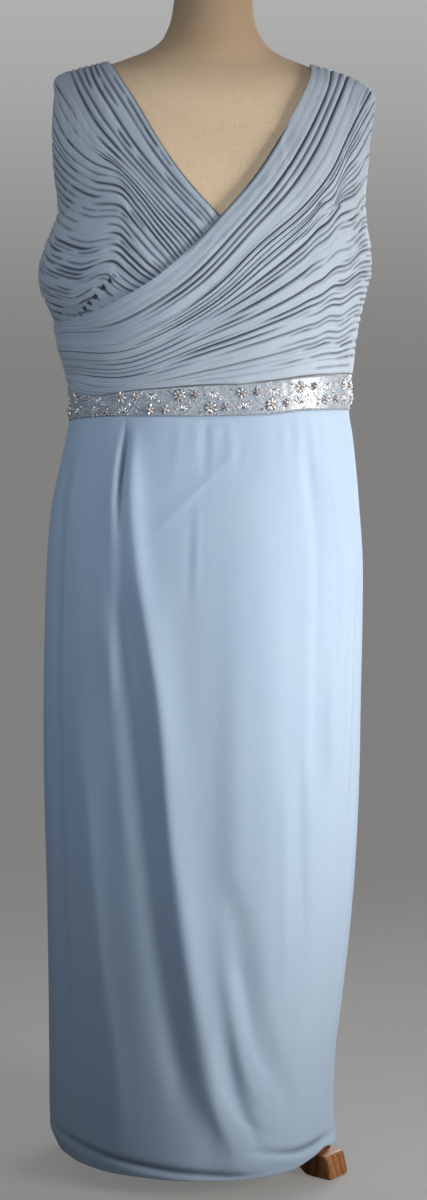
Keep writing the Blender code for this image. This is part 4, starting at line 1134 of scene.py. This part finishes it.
class Band:
    """Places on one half of the waistband, in metres along it and up from its middle line."""

    def __init__(self, is_back):
        turned = np.linspace(-SIDE_SEAM_ANGLE, SIDE_SEAM_ANGLE, 400)
        self.angles = 180.0 - turned if is_back else turned
        low = waist("bottom", self.angles) + SEAM_GAP / 2
        high = waist("top", self.angles) - SEAM_GAP / 2
        self.middle = (low + high) / 2
        self.half = (high - low) / 2
        self.run = run_of(body_point(self.angles, self.middle))
        self.length = self.run[-1]

    def read(self, along, values):
        return np.array(np.interp(along, self.run, values))

    def place(self, along, up, lift):
        """Point, tangent and normal at a place on the band's outer face."""
        angle = self.read(along, self.angles)
        z = self.read(along, self.middle) + up
        normal = body_normal(angle, z)
        point = body_point(angle, z) + normal * (BELT_LIFT + BELT_WALL + lift)
        tangent = body_point(self.read(along + TANGENT_STEP, self.angles), z) - body_point(angle, z)
        if along > self.length - 1.5 * TANGENT_STEP:
            tangent = body_point(angle, z) - body_point(self.read(along - TANGENT_STEP, self.angles), z)
        return point, tangent / np.linalg.norm(tangent), normal


class BeadTray:
    """Collects beads by kind, then sews each kind on as one piece."""

    def __init__(self, band, draw):
        self.band = band
        self.draw = draw
        self.kinds = {}

    def add(self, kind, along, up, size, spin=0.0, lift=0.0):
        """Size is (length, width, height) in metres, and spin is in degrees from the band's length."""
        if not BELT_END < along < self.band.length - BELT_END:
            return
        if abs(up) > float(self.band.read(along, self.band.half)) - BELT_EDGE:
            return
        point, tangent, normal = self.band.place(along, up, lift + size[2] / 2 - BEAD_SINK)
        turned = Matrix.Rotation(math.radians(spin), 3, Vector(normal)) @ Vector(tangent)
        points, turns, sizes = self.kinds.setdefault(kind, ([], [], []))
        points.append(point)
        turns.append(turn_of(turned, normal))
        sizes.append(size)


def away_from(along, up, turn, reach):
    """The place at a distance from another one, toward a turn in degrees."""
    return along + reach * math.cos(math.radians(turn)), up + reach * math.sin(math.radians(turn))


def add_flower(tray, along, up, petals, reach):
    """A cut crystal in a ring of pointed petals, with dark and rose seed beads between them."""
    draw = tray.draw
    start = draw.uniform(0, 360 / petals)
    tray.add(("cut", "bead_rose"), along, up, (0.0046, 0.0046, 0.0034), 0, 0.0010)
    for petal in range(petals):
        turn = start + petal * 360 / petals + draw.uniform(-7, 7)
        long = reach * draw.uniform(0.50, 0.76)
        finish = "bead_silver" if draw.random() < 0.25 else "bead_crystal"
        size = (long, reach * draw.uniform(0.22, 0.34), 0.0030)
        place = away_from(along, up, turn, 0.0019 + long / 2)
        tray.add(("cut", finish), *place, size, turn, draw.uniform(0.0, 0.0008))
    for seed in range(petals):
        turn = start + (seed + 0.5) * 360 / petals
        for share, finish in ((0.46, "bead_rose"), (0.74, "bead_dark")):
            tray.add(("round", finish), *away_from(along, up, turn, share * reach), (0.0018,) * 3)


def add_fan(tray, along, up, heading, leaves, reach):
    """Pointed leaves in a fan, each ended by a small round bead."""
    for leaf in range(leaves):
        turn = heading + (leaf - (leaves - 1) / 2) * 150 / leaves
        place = away_from(along, up, turn, 0.62 * reach)
        tray.add(("cut", "bead_crystal"), *place, (reach * 0.62, 0.0021, 0.0022), turn)
        for finish, share, size in (
            ("bead_rose", 1.06, (0.0021, 0.0021, 0.0020)),
            ("bead_dark", 0.26, (0.0016, 0.0016, 0.0016)),
        ):
            tray.add(("round", finish), *away_from(along, up, turn, share * reach), size)


def add_tendril(tray, start, end, sway, finish, size, pitch):
    """A curling line of round beads between two places (along, up)."""
    run = math.hypot(end[0] - start[0], end[1] - start[1]) * 1.2
    count = max(2, int(run / pitch))
    for step in range(count + 1):
        part = step / count
        along = start[0] + (end[0] - start[0]) * part
        up = start[1] + (end[1] - start[1]) * part + sway * math.sin(math.pi * 2 * part)
        tray.add(("round", finish), along, up, (size, size, size))


def fill_tray(tray):
    """The band's own layout: flower heads high and low by turns with a fan across from each,
    curling lines between them, and small beads strewn over the rest."""
    draw = tray.draw
    pitch = tray.band.length / FLOWERS
    heads = []
    for flower in range(FLOWERS):
        along = (flower + 0.5) * pitch
        up = FLOWER_RISE if flower % 2 else -FLOWER_RISE
        heads.append((along, up))
        add_flower(tray, along, up, (7, 6, 8)[flower % 3], (0.0094, 0.0084, 0.0100)[flower % 3])
        add_fan(tray, along + 0.002, -up * 1.45, 90 if up > 0 else -90, 5, 0.0100)
        add_flower(tray, along + pitch / 2, up, 5, 0.0058)
        tray.add(("cut", "bead_crystal"), along + 0.30 * pitch, -up * 0.2, (0.0036, 0.0036, 0.0028))
        tray.add(("cut", "bead_rose"), along + 0.70 * pitch, -up * 1.6, (0.0032, 0.0032, 0.0026))
    for (near, low), (far, high) in zip(heads, heads[1:]):
        sway = draw.uniform(0.002, 0.004)
        add_tendril(tray, (near + 0.008, low), (far - 0.008, high), sway, "bead_silver", 0.0018, 0.0020)
        start, end = (near + 0.006, -low * 1.9), (far - 0.006, -high * 1.9)
        add_tendril(tray, start, end, -sway, "bead_crystal", 0.0015, 0.0022)
    finishes = ("bead_silver", "bead_crystal", "bead_crystal", "bead_rose", "bead_silver", "bead_silver")
    for _ in range(STREWN_BEADS):
        along = draw.uniform(0.002, tray.band.length - 0.002)
        size = draw.uniform(0.0010, 0.0017)
        kind = ("round", draw.choice(finishes))
        tray.add(kind, along, draw.uniform(-0.026, 0.026), (size, size, size * 0.8))


def stitch_row(name, material, path):
    """A row of small stitches along a path of (point, normal)."""
    points, normals = (np.array(part) for part in zip(*path))
    run = run_of(points)

    def read(place, values):
        return np.array([np.interp(place, run, values[:, axis]) for axis in range(3)])

    places = np.arange(STITCH_PITCH / 2, run[-1], STITCH_PITCH)
    spots = [read(place, points) for place in places]
    turns = []
    for place in places:
        tangent = read(place + TANGENT_STEP, points) - read(place - TANGENT_STEP, points)
        turns.append(turn_of(tangent, read(place, normals)))
    return sew_on(name, "round", material, spots, turns, [STITCH_SIZE] * len(places))


# The bodice

def finish_cloth(piece, node):
    """Attaches a finished sheet of cloth to the root body and hides the solid part it replaces."""
    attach(piece, "root")
    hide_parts(node)


def make_bodice_under(material):
    """The front wrap at the left, which tucks under the other one."""
    columns = columns_of(UNDER_COLUMNS)
    u, z = spread(UNDER_GUIDES, pleat_rows(UNDER_PLEATS, 11), columns, False)
    u = keep_seam_gap(u, z, False)
    angle = panel_angle(u, z, False)
    cut = strokes(UNDER_PLEATS + 1, columns, 12, 0.55, 0.22, 0.80)
    hold(cut, columns, UNDER_HOLDS)
    # Beyond the tack line, which the lower pleats meet later, all pleats are sharp.
    for pleat in range(5, 22):
        hold(cut, columns, ((0.35, 0.46 + 0.045 * max(0, pleat - 11), 0.97, (pleat,), 0.65),))
    short = strokes(UNDER_PLEATS + 1, columns, 14, 0.17, 0.06, 0.9) * smooth_step(0.30, 0.20, columns)
    short[:6] = 0
    cut = np.maximum(cut, short)
    middle = strokes(UNDER_PLEATS, columns, 13, 0.28, 0.12, 0.55)
    middle[4:8] *= smooth_step(0.36, 0.46, columns)
    points = body_point(angle, z)
    relief, fold = pleated(points, cut, middle, 12)
    # A ragged row of gaps opens where the drooping pleats meet those beyond the tack line.
    start, end = np.array(GAP_ROW)
    row = (end - start) / np.linalg.norm(end - start)
    from_start = points[..., ::2] - start
    along = from_start @ row / np.linalg.norm(end - start)
    beyond = from_start @ np.array((-row[1], row[0]))
    tooth = 0.5 + 0.5 * np.cos(2 * math.pi * GAP_ROW_TEETH * along + 1.3 * np.sin(along * 8))
    narrow = 0.25 + 0.60 * np.clip(beyond / GAP_REACH, 0, 1)
    gap = smooth_step(narrow, narrow + 0.30, tooth)
    gap *= smooth_step(-0.0018, 0.0014, beyond) * smooth_step(GAP_REACH, 0.3 * GAP_REACH, beyond)
    gap *= smooth_step(-0.04, 0.06, along) * smooth_step(1.06, 0.90, along)
    relief *= 1 - 0.85 * gap
    relief *= 0.20 + 0.80 * smooth_step(0.0, 0.030, z - wrap_edge(u))
    # The gaps also carry painted shade, through the fold mask.
    piece = make_cloth(
        "bodice_under_chiffon", angle, z, np.zeros_like(z), relief, np.maximum(fold, gap), WALL,
        INNER_STEP, material,
    )
    finish_cloth(piece, "bodice_under")


def make_bodice_over(material):
    """The front wrap from the right shoulder across to the left side seam."""
    guides = [*OVER_GUIDES, waist_guide(OVER_GUIDES)]
    rows = pleat_rows(OVER_PLEATS, 21)
    columns = columns_of(OVER_COLUMNS)
    u, z = spread(guides, rows, columns, False)
    z = settle_on_waist(u, z, rows, False)
    # Near the armhole and the side seam the pleats waver.
    x = body_point(panel_angle(u, z, False), z)[..., 0]
    waver = WAVER_HEIGHT * np.sin(2 * math.pi * x / WAVER_LENGTH + 9 * rows[:, None])
    waver *= smooth_step(0.105, 0.160, x)
    held_edges = smooth_step(0.26, 0.38, rows) * smooth_step(1.0, 0.88, rows)
    z = z + waver * held_edges[:, None] * smooth_step(0.0, 0.03, columns)
    u = keep_seam_gap(u, z, False)
    angle = panel_angle(u, z, False)
    cut = strokes(OVER_PLEATS + 1, columns, 22, 0.60, 0.20, 0.74)
    hold(cut, columns, OVER_HOLDS)
    cut *= 1 - 0.35 * smooth_step(0.80, 0.97, columns)
    # Short deep creases crowd along the armhole and the side seam.
    short = strokes(OVER_PLEATS + 1, columns, 24, 0.13, 0.05, 0.95) * smooth_step(0.21, 0.14, columns)
    short[:9] = 0
    cut = np.maximum(cut, short)
    middle = strokes(OVER_PLEATS, columns, 23, 0.22, 0.08, 0.7) * smooth_step(0.40, 0.26, columns)
    middle[:7] = 0
    relief, fold = pleated(body_point(angle, z), cut, middle, 22)
    below_edge = wrap_edge(u) - z
    inward = smooth_step(-1.0, -0.80, u)
    layer = SIDE_LAYER + (LAYER - SIDE_LAYER) * inward
    overlap = SIDE_OVERLAP + (OVERLAP - SIDE_OVERLAP) * inward
    lift = layer * smooth_step(overlap + 0.036, overlap, below_edge) * smooth_step(0.80, 0.22, u)
    piece = make_cloth("bodice_over_chiffon", angle, z, lift, relief, fold, WALL, INNER_STEP, material)
    finish_cloth(piece, "bodice_over")


def make_bodice_back(name, side, material):
    """One of the two back panels. The side is -1 for the left one and 1 for the right one."""
    guides = []
    for index, guide in enumerate(BACK_GUIDES):
        path = [(side * x, z) for x, z in guide.path]
        if side < 0 and index < len(LEFT_SHOULDER):
            path[0] = (-SIDE, LEFT_SHOULDER[index])
        guides.append(Guide(guide.place, tuple(path)))
    guides.append(waist_guide(guides))
    rows = pleat_rows(BACK_PLEATS, 31)
    columns = columns_of(BACK_COLUMNS)
    u, z = spread(guides, rows, columns, True)
    z = settle_on_waist(u, z, rows, True)
    u = keep_seam_gap(u, z, True)
    u = side * np.maximum(side * u, CENTRE_GAP)
    angle = panel_angle(u, z, True)
    seed = 34 if side > 0 else 37
    cut = np.maximum(strokes(BACK_PLEATS + 1, columns, seed, 1.3, 0.5, 0.92), 0.20)
    middle = strokes(BACK_PLEATS, columns, seed + 1, 0.35, 0.14, 0.6)
    relief, fold = pleated(body_point(angle, z), cut, middle, 32)
    flat = np.zeros_like(z)
    piece = make_cloth(name + "_chiffon", angle, z, flat, relief, fold, WALL, INNER_STEP, material)
    finish_cloth(piece, name)


# The skirt

def make_skirt(half, is_back, columns, folds, creases, material):
    """The front or back panel of the skirt, with its row of hem stitches."""
    name = "skirt_" + half
    turned = np.linspace(-1, 1, columns + 1) * SIDE_SEAM_ANGLE
    across = 180.0 - turned if is_back else turned
    even = np.linspace(0, 1, SKIRT_ROWS + 1)
    levels = 0.35 * even + 0.65 * even**1.5
    angle = np.tile(across, (len(levels), 1))
    hem = HEM + HEM_OVER_FOOT * bell(across - FOOT_ANGLE, FOOT_ARC)
    hem -= HEM_SAG * bell(across - SAG_ANGLE, SAG_ARC)
    top = waist("bottom", across) - SEAM_GAP / 2
    z = hem + levels[:, None] * (top - hem)
    lift = fold_relief(folds, angle, z)
    turn = np.radians(angle)
    gathers = 0.5 * np.sin(turn * 23) * (0.6 + 0.4 * np.sin(turn * 7 + 1.0))
    gathers += 0.6 * np.sin(turn * 52 + 1.3) * (0.5 + 0.5 * np.sin(turn * 9 + 2.0))
    reach = 0.90 + 0.03 * np.sin(turn * 31 + 0.4)
    gathers = gathers * np.where(np.abs(turned) < 85, 0.4 + 0.6 * smooth_step(-0.45, -0.30, turn), 0.4)
    lift += GATHER_HEIGHT * gathers * smooth_step(reach, 0.985, z)
    # The lines of the hem: a press with a soft bulge below it, with painted shade along its middle
    above_hem = z - hem
    fold = np.zeros_like(z)
    for line in HEM_LINES:
        angles, heights, strengths = np.transpose(line)
        pressed = np.interp(across, angles, strengths)
        above_press = above_hem - np.interp(across, angles, heights)
        lift -= PRESS_DEPTH * pressed * bell(above_press, PRESS_WIDTH)
        lift += BULGE_HEIGHT * pressed * bell(above_press + BULGE_BELOW, BULGE_WIDTH)
        dark = np.clip(1.5 * pressed - 0.4, 0, 1)
        fold += PRESS_SHADE * dark * bell(above_press, PRESS_SHADE_WIDTH)
    fine = fold_relief(creases, angle, z)
    fine += 0.0022 * soft_noise(angle / 17.0, z * 1.3, 5) * smooth_step(0.98, 0.80, z)
    fine += 0.0010 * soft_noise(angle / 8.0, z * 2.1, 6) * smooth_step(0.95, 0.75, z)
    total = lift + fine
    # Flat at the waist seam and the side seams
    to_side = 90.0 - np.abs(turned)
    total *= smooth_step(0.0, 0.03, np.abs(top - z)) * smooth_step(0.0, 4.0, to_side)
    roll = np.interp(across, *np.transpose(HEM_ROLLS))
    total -= roll * np.clip(1 - above_hem / HEM_ROLL_HEIGHT, 0, 1) ** 2
    # Painted shade darkens the first crease of each half, and its side seams are darker
    fold += 0.75 * np.clip(-fold_relief(creases[:1], angle, z) / 0.0030, 0, 1)
    fold = np.maximum(fold, 0.4 * smooth_step(0.5, 0.0, to_side))
    piece = make_cloth(
        name + "_chiffon", angle, z, total, np.zeros_like(z), fold, WALL, SKIRT_INNER_STEP, material,
        SKIRT_CLOSE_ROWS,
    )
    path = []
    for column in range(columns + 1):
        spot_angle = np.array(across[column])
        level = np.array(hem[column] + STITCH_ABOVE_HEM)
        height = np.array(np.interp(level, z[:, column], total[:, column])) + WALL
        path.append((raised(spot_angle, level, height), body_normal(spot_angle, level)))
    stitches = stitch_row(name + "_hem_stitches", material_of("sewing_thread"), path)
    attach(stitches, "root")
    finish_cloth(piece, name)


# The waistband

def make_waistband(name, is_back, net, seed):
    """One half of the waistband, with its beads."""
    band = Band(is_back)
    along = np.linspace(0, band.length, BELT_COLUMNS + 1)
    angle = np.tile(band.read(along, band.angles), (BELT_ROWS + 1, 1))
    low = waist("bottom", angle) + SEAM_GAP / 2
    high = waist("top", angle) - SEAM_GAP / 2
    share = np.linspace(0, 1, BELT_ROWS + 1)[:, None]
    z = low + share * (high - low)
    relief = 0.0004 * soft_noise(angle * 0.5, share * 3.0 + 0 * angle, seed)
    relief += 0.0006 * np.sin(math.pi * share)
    relief *= smooth_step(0.0, 0.02, band.length / 2 - np.abs(along - band.length / 2))
    lift = np.full_like(z, BELT_LIFT)
    fold = np.full_like(z, 0.3)
    relief = np.maximum(relief, 0)
    cloth = make_cloth(name + "_net", angle, z, lift, relief, fold, BELT_WALL, BELT_ROWS, net)
    tray = BeadTray(band, random.Random(seed))
    fill_tray(tray)
    for (shape, finish), (points, turns, sizes) in tray.kinds.items():
        piece = sew_on(f"{name}_{shape}_{finish}s", shape, material_of(finish), points, turns, sizes)
        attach(piece, "root")
    finish_cloth(cloth, name)


# The dress form and its stand

def make_torso(material):
    """The padded torso with its neck, one smooth closed skin."""
    count = TORSO_COLUMNS
    # Rows lie closest together at the shoulders.
    neck = np.linspace(FORM_TOP, 1.500, 24, endpoint=False)
    shoulders = np.linspace(1.500, 1.410, 50, endpoint=False)
    heights = np.concatenate([neck, shoulders, np.linspace(1.410, 0.706, 110)])
    turns = np.linspace(-90, 270, count, endpoint=False)
    rings = []
    for z in heights:
        inside = SHOULDER_CLEARANCE + (BODY_CLEARANCE - SHOULDER_CLEARANCE) * smooth_step(1.43, 1.39, z)
        ring = raised(turns, np.full(count, z), np.full(count, -inside))
        # The form is narrower than the gown at the arms, the bust and the hips.
        arm = 0.055 * smooth_step(1.250, 1.300, z) * smooth_step(1.445, 1.405, z)
        bust = 0.045 * smooth_step(1.260, 1.215, z) * smooth_step(1.110, 1.165, z)
        hips = 0.030 * smooth_step(0.960, 0.900, z) + 0.050 * smooth_step(0.800, 0.706, z)
        ring[:, 0] *= 1 - arm - bust - hips
        ring[:, 1] *= 1 - hips
        rings.append(ring)
    # A round edge at the neck's flat top, and a drawn-in base
    top = rings[0] * (0.93, 0.93, 1.0)
    top[:, 2] = FORM_TOP
    rings[0][:, 2] -= 0.0016
    base = raised(turns, np.full(count, FORM_BOTTOM), np.full(count, -BODY_CLEARANCE)) * (0.84, 0.84, 1.0)
    base[:, 2] = FORM_BOTTOM
    points = np.array([top, *rings, base])
    around = np.linalg.norm(np.diff(np.concatenate([points, points[:, :1]], axis=1), axis=1), axis=2)
    along = np.concatenate([np.zeros((len(points), 1)), around.cumsum(axis=1)[:, :-1]], axis=1)
    down = np.concatenate([[0], np.linalg.norm(np.diff(points, axis=0), axis=2).mean(axis=1).cumsum()])
    places = np.stack([along - 0.3, np.broadcast_to(down[:, None], along.shape)], axis=-1)
    piece = make_mesh_piece(
        "torso_linen", points.reshape(-1, 3), tube_faces(len(points), count), material,
        places.reshape(-1, 2), np.zeros(len(points) * count),
    )
    piece.data.set_sharp_from_angle(angle=math.radians(60))
    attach(piece, "root")
    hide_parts("form_torso")


def leg_section(station):
    """Points of one section of a leg, a rectangle with round corners that may lean inward."""
    middle = (station.bottom + station.top) / 2
    half_height = (station.top - station.bottom) / 2
    corner = min(LEG_CORNER, 0.6 * half_height, 0.6 * station.half_width)
    points = []
    for quarter in range(4):
        diagonal = math.radians(90 * quarter + 45)
        for step in range(LEG_CORNER_STEPS + 1):
            turn = math.radians(90 * quarter + 90 * step / LEG_CORNER_STEPS)
            across = math.copysign(station.half_width - corner, math.cos(diagonal))
            rise = math.copysign(half_height - corner, math.sin(diagonal))
            height = middle + rise + corner * math.sin(turn)
            reach = station.reach - station.lean * (height - station.bottom)
            points.append((reach, across + corner * math.cos(turn), height))
    return points


def make_leg(number, direction, material):
    """One leg, a smooth curve through the stations of the solid."""
    turn = math.radians(direction)
    columns = np.transpose(LEG)
    stations = [
        LegStation(*(float(smooth(columns[0], column, stop)) for column in columns))
        for stop in np.arange(LEG[0].reach, CURVE_ENDS, LEG_STEP)
    ]
    stations += [station for station in LEG if station.reach > CURVE_ENDS]
    points = []
    for station in stations:
        for out, across, rise in leg_section(station._replace(bottom=max(station.bottom, 0.0))):
            x = STAND_X + out * math.cos(turn) - across * math.sin(turn)
            y = STAND_Y + out * math.sin(turn) + across * math.cos(turn)
            points.append((x, y, rise))
    faces = tube_faces(len(stations), 4 * (LEG_CORNER_STEPS + 1))
    piece = make_mesh_piece(f"stand_leg_{number}_wood", points, faces, material)
    piece.data.set_sharp_from_angle(angle=math.radians(55))
    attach(piece, "root")
    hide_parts(f"stand_leg_{number}")


# Stage

def add_light(name, place, target, size, power, colour, spread_angle):
    lamp = bpy.data.lights.new(name, "AREA")
    lamp.shape = "DISK"
    lamp.size = size
    lamp.energy = power
    lamp.color = colour
    lamp.spread = math.radians(spread_angle)
    holder = link_object(name, lamp)
    holder.location = place
    holder.rotation_euler = (Vector(target) - Vector(place)).to_track_quat("-Z", "Y").to_euler()


def studio_world():
    """Plain soft light from all round, a little deeper toward the floor."""
    world = bpy.data.worlds.new("studio")
    world.use_nodes = True
    tree = world.node_tree
    place = link_node(tree, "ShaderNodeTexCoord")
    split = link_node(tree, "ShaderNodeSeparateXYZ", {0: place.outputs["Generated"]})
    rise = map_range(tree, split.outputs[2], -0.004, 0.20, interpolation_type="SMOOTHSTEP")
    sky = mix_colours(tree, rise, (0.3884, 0.3858, 0.378), (0.80, 0.80, 0.80))
    seen = link_node(tree, "ShaderNodeLightPath")
    strength = map_range(tree, seen.outputs["Is Camera Ray"], 0.0, 1.0, WORLD_LIGHT, WORLD_SHOWN)
    background = tree.nodes["Background"]
    tree.links.new(sky, background.inputs["Color"])
    tree.links.new(strength, background.inputs["Strength"])
    return world


COLOUR = {"subtype": "COLOR", "min": 0, "max": 1}


class GownColours(bpy.types.PropertyGroup):
    """Colours of the cloth, the form and the stand."""

    chiffon: bpy.props.FloatVectorProperty(
        name="Skirt chiffon", description="Chiffon of the skirt, one layer over the ground",
        default=(0.350, 0.455, 0.590), **COLOUR,
    )
    chiffon_cool: bpy.props.FloatVectorProperty(
        name="Skirt chiffon, cooler", description="The cooler tone of the same chiffon",
        default=(0.320, 0.430, 0.590), **COLOUR,
    )
    # Partly painted shade: these pleat grounds are darker than the skirt's to stand in for the shade among
    # the pleats, and partly the tone of chiffon several layers thick.
    pleats: bpy.props.FloatVectorProperty(
        name="Pleats", description="Chiffon on the crowns of the pleats, several layers thick",
        default=(0.360, 0.420, 0.500), **COLOUR,
    )
    pleats_cool: bpy.props.FloatVectorProperty(
        name="Pleats, cooler", description="The cooler tone of the same pleats",
        default=(0.326, 0.400, 0.505), **COLOUR,
    )
    # Painted shade: the colour the chiffon darkens to deep in the folds.
    chiffon_fold_shade: bpy.props.FloatVectorProperty(
        name="Chiffon in folds", description="Chiffon deep between two pleats",
        default=(0.040, 0.055, 0.095), **COLOUR,
    )
    net: bpy.props.FloatVectorProperty(
        name="Net ground", description="The cloth below the beads",
        default=(0.35, 0.405, 0.48), **COLOUR,
    )
    net_thread: bpy.props.FloatVectorProperty(
        name="Net thread", description="The threads of the net",
        default=(0.46, 0.52, 0.60), **COLOUR,
    )
    linen: bpy.props.FloatVectorProperty(
        name="Linen", description="Cover of the dress form",
        default=(0.70, 0.555, 0.395), **COLOUR,
    )
    linen_dark: bpy.props.FloatVectorProperty(
        name="Linen, darker", description="The darker tone of the same linen",
        default=(0.60, 0.462, 0.318), **COLOUR,
    )
    # Painted shade: the darker linen toward the top of the neck.
    linen_neck_shade: bpy.props.FloatVectorProperty(
        name="Linen, neck", description="The linen where shadows have browned it round the neck",
        default=(0.40, 0.285, 0.185), **COLOUR,
    )
    wood: bpy.props.FloatVectorProperty(
        name="Wood", description="Varnished wood of the stand",
        default=(0.350, 0.130, 0.029), **COLOUR,
    )
    wood_dark: bpy.props.FloatVectorProperty(
        name="Wood, darker", description="The dark grain of the same wood",
        default=(0.195, 0.066, 0.016), **COLOUR,
    )


class GownSizes(bpy.types.PropertyGroup):
    """Sizes that a user may change without changing the solids."""

    bead_scale: bpy.props.FloatProperty(
        name="Bead scale", description="How large the beads are against their real size",
        default=1.0, min=0.5, max=1.4,
    )
    key_power: bpy.props.FloatProperty(
        name="Window light", description="Power of the large soft light at the right", unit="POWER",
        default=10.3, min=0.0,
    )
    fill_power: bpy.props.FloatProperty(
        name="Fill light", description="Power of the weak soft light at the left", unit="POWER",
        default=1.00, min=0.0,
    )


class GOWN_OT_bodice(bpy.types.Operator):
    """Makes the four pleated panels of the bodice"""

    bl_idname = "gown.bodice"
    bl_label = "Pleated Bodice"

    def execute(self, context):
        chiffon = material_of("bodice_chiffon")
        make_bodice_under(chiffon)
        make_bodice_over(chiffon)
        make_bodice_back("bodice_back_left", -1, chiffon)
        make_bodice_back("bodice_back_right", 1, chiffon)
        return {"FINISHED"}


class GOWN_OT_skirt(bpy.types.Operator):
    """Makes the two panels of the skirt and their hem stitches"""

    bl_idname = "gown.skirt"
    bl_label = "Column Skirt"

    def execute(self, context):
        chiffon = material_of("skirt_chiffon")
        make_skirt("front", False, SKIRT_COLUMNS, FRONT_FOLDS, FRONT_CREASES, chiffon)
        make_skirt("back", True, SKIRT_BACK_COLUMNS, BACK_FOLDS, BACK_CREASES, chiffon)
        return {"FINISHED"}


class GOWN_OT_waistband(bpy.types.Operator):
    """Makes the net waistband and sews its beads on"""

    bl_idname = "gown.waistband"
    bl_label = "Beaded Waistband"

    def execute(self, context):
        net = material_of("gown_net")
        make_waistband("waistband_front", False, net, 41)
        make_waistband("waistband_back", True, net, 43)
        return {"FINISHED"}


class GOWN_OT_form(bpy.types.Operator):
    """Makes the linen torso and the wooden stand"""

    bl_idname = "gown.form"
    bl_label = "Dress Form"

    def execute(self, context):
        make_torso(material_of("form_linen"))
        wood = material_of("stand_wood")
        for number, direction in enumerate(LEG_ANGLES, start=1):
            make_leg(number, direction, wood)
        for name in ("stand_pole", "stand_hub"):
            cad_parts[name].data.materials.clear()
            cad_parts[name].data.materials.append(wood)
        return {"FINISHED"}


class GOWN_OT_stage(bpy.types.Operator):
    """Makes the floor, the lights and the camera"""

    bl_idname = "gown.stage"
    bl_label = "Studio Stage"

    def execute(self, context):
        scene = context.scene
        sizes = scene.gown_sizes
        bpy.ops.mesh.primitive_circle_add(
            vertices=96, radius=FLOOR_RADIUS, fill_type="NGON", location=(0, 0, 0)
        )
        floor = context.active_object
        floor.name = "studio_floor"
        floor.data.materials.append(material_of("studio_floor"))
        # Name, place, what it aims at (beside the axis, height), size, power, colour, spread in degrees
        for name, place, (beside, height), size, power, colour, spread_angle in (
            ("window_light", (1.65, -0.95, 0.86), (0, 0.77), 1.0, sizes.key_power, (1.0, 0.945, 0.86), 70),
            ("left_light", (-1.5, -1.9, 1.5), (0, 0.74), 1.2, sizes.fill_power, (0.74, 0.86, 1.0), 32),
            ("bust_light", (-0.3, -2.6, 1.9), (-0.04, 1.29), 0.9, 0.68, (1.0, 0.985, 0.96), 24),
            ("back_light", (1.2, 2.6, 1.6), (0, 0.95), 1.6, 7.0, (0.97, 0.99, 1.0), 60),
        ):
            aim = (AXIS_X + beside, AXIS_Y, height)
            add_light(name, place, aim, size, power, colour, spread_angle)
        scene.world = studio_world()
        scene.view_settings.view_transform = "Standard"
        lens = bpy.data.cameras.new("camera")
        lens.lens = CAMERA_LENS
        lens.shift_y = -HORIZON_ABOVE_MIDDLE
        camera = link_object("camera", lens)
        camera.location = (AXIS_X, AXIS_Y - CAMERA_BACK, CAMERA_HEIGHT)
        camera.rotation_euler = (math.radians(90), 0, 0)
        scene.camera = camera
        return {"FINISHED"}


class GOWN_PT_panel(bpy.types.Panel):
    """Lists the steps that make the gown"""

    bl_label = "Evening Gown"
    bl_idname = "GOWN_PT_panel"
    bl_space_type = "VIEW_3D"
    bl_region_type = "UI"
    bl_category = "Gown"

    def draw(self, context):
        for step in (GOWN_OT_form, GOWN_OT_bodice, GOWN_OT_waistband, GOWN_OT_skirt, GOWN_OT_stage):
            self.layout.operator(step.bl_idname)
        for group in (context.scene.gown_colours, context.scene.gown_sizes):
            for name in group.__annotations__:
                self.layout.prop(group, name)


CLASSES = (
    GownColours,
    GownSizes,
    GOWN_OT_form,
    GOWN_OT_bodice,
    GOWN_OT_waistband,
    GOWN_OT_skirt,
    GOWN_OT_stage,
    GOWN_PT_panel,
)


def register():
    for item in CLASSES:
        bpy.utils.register_class(item)
    bpy.types.Scene.gown_colours = bpy.props.PointerProperty(type=GownColours)
    bpy.types.Scene.gown_sizes = bpy.props.PointerProperty(type=GownSizes)


def unregister():
    del bpy.types.Scene.gown_sizes
    del bpy.types.Scene.gown_colours
    for item in reversed(CLASSES):
        bpy.utils.unregister_class(item)


def main():
    register()
    bpy.ops.gown.form()
    bpy.ops.gown.bodice()
    bpy.ops.gown.waistband()
    bpy.ops.gown.skirt()
    bpy.ops.gown.stage()
    bpy.context.view_layer.update()


if __name__ == "__main__":
    main()
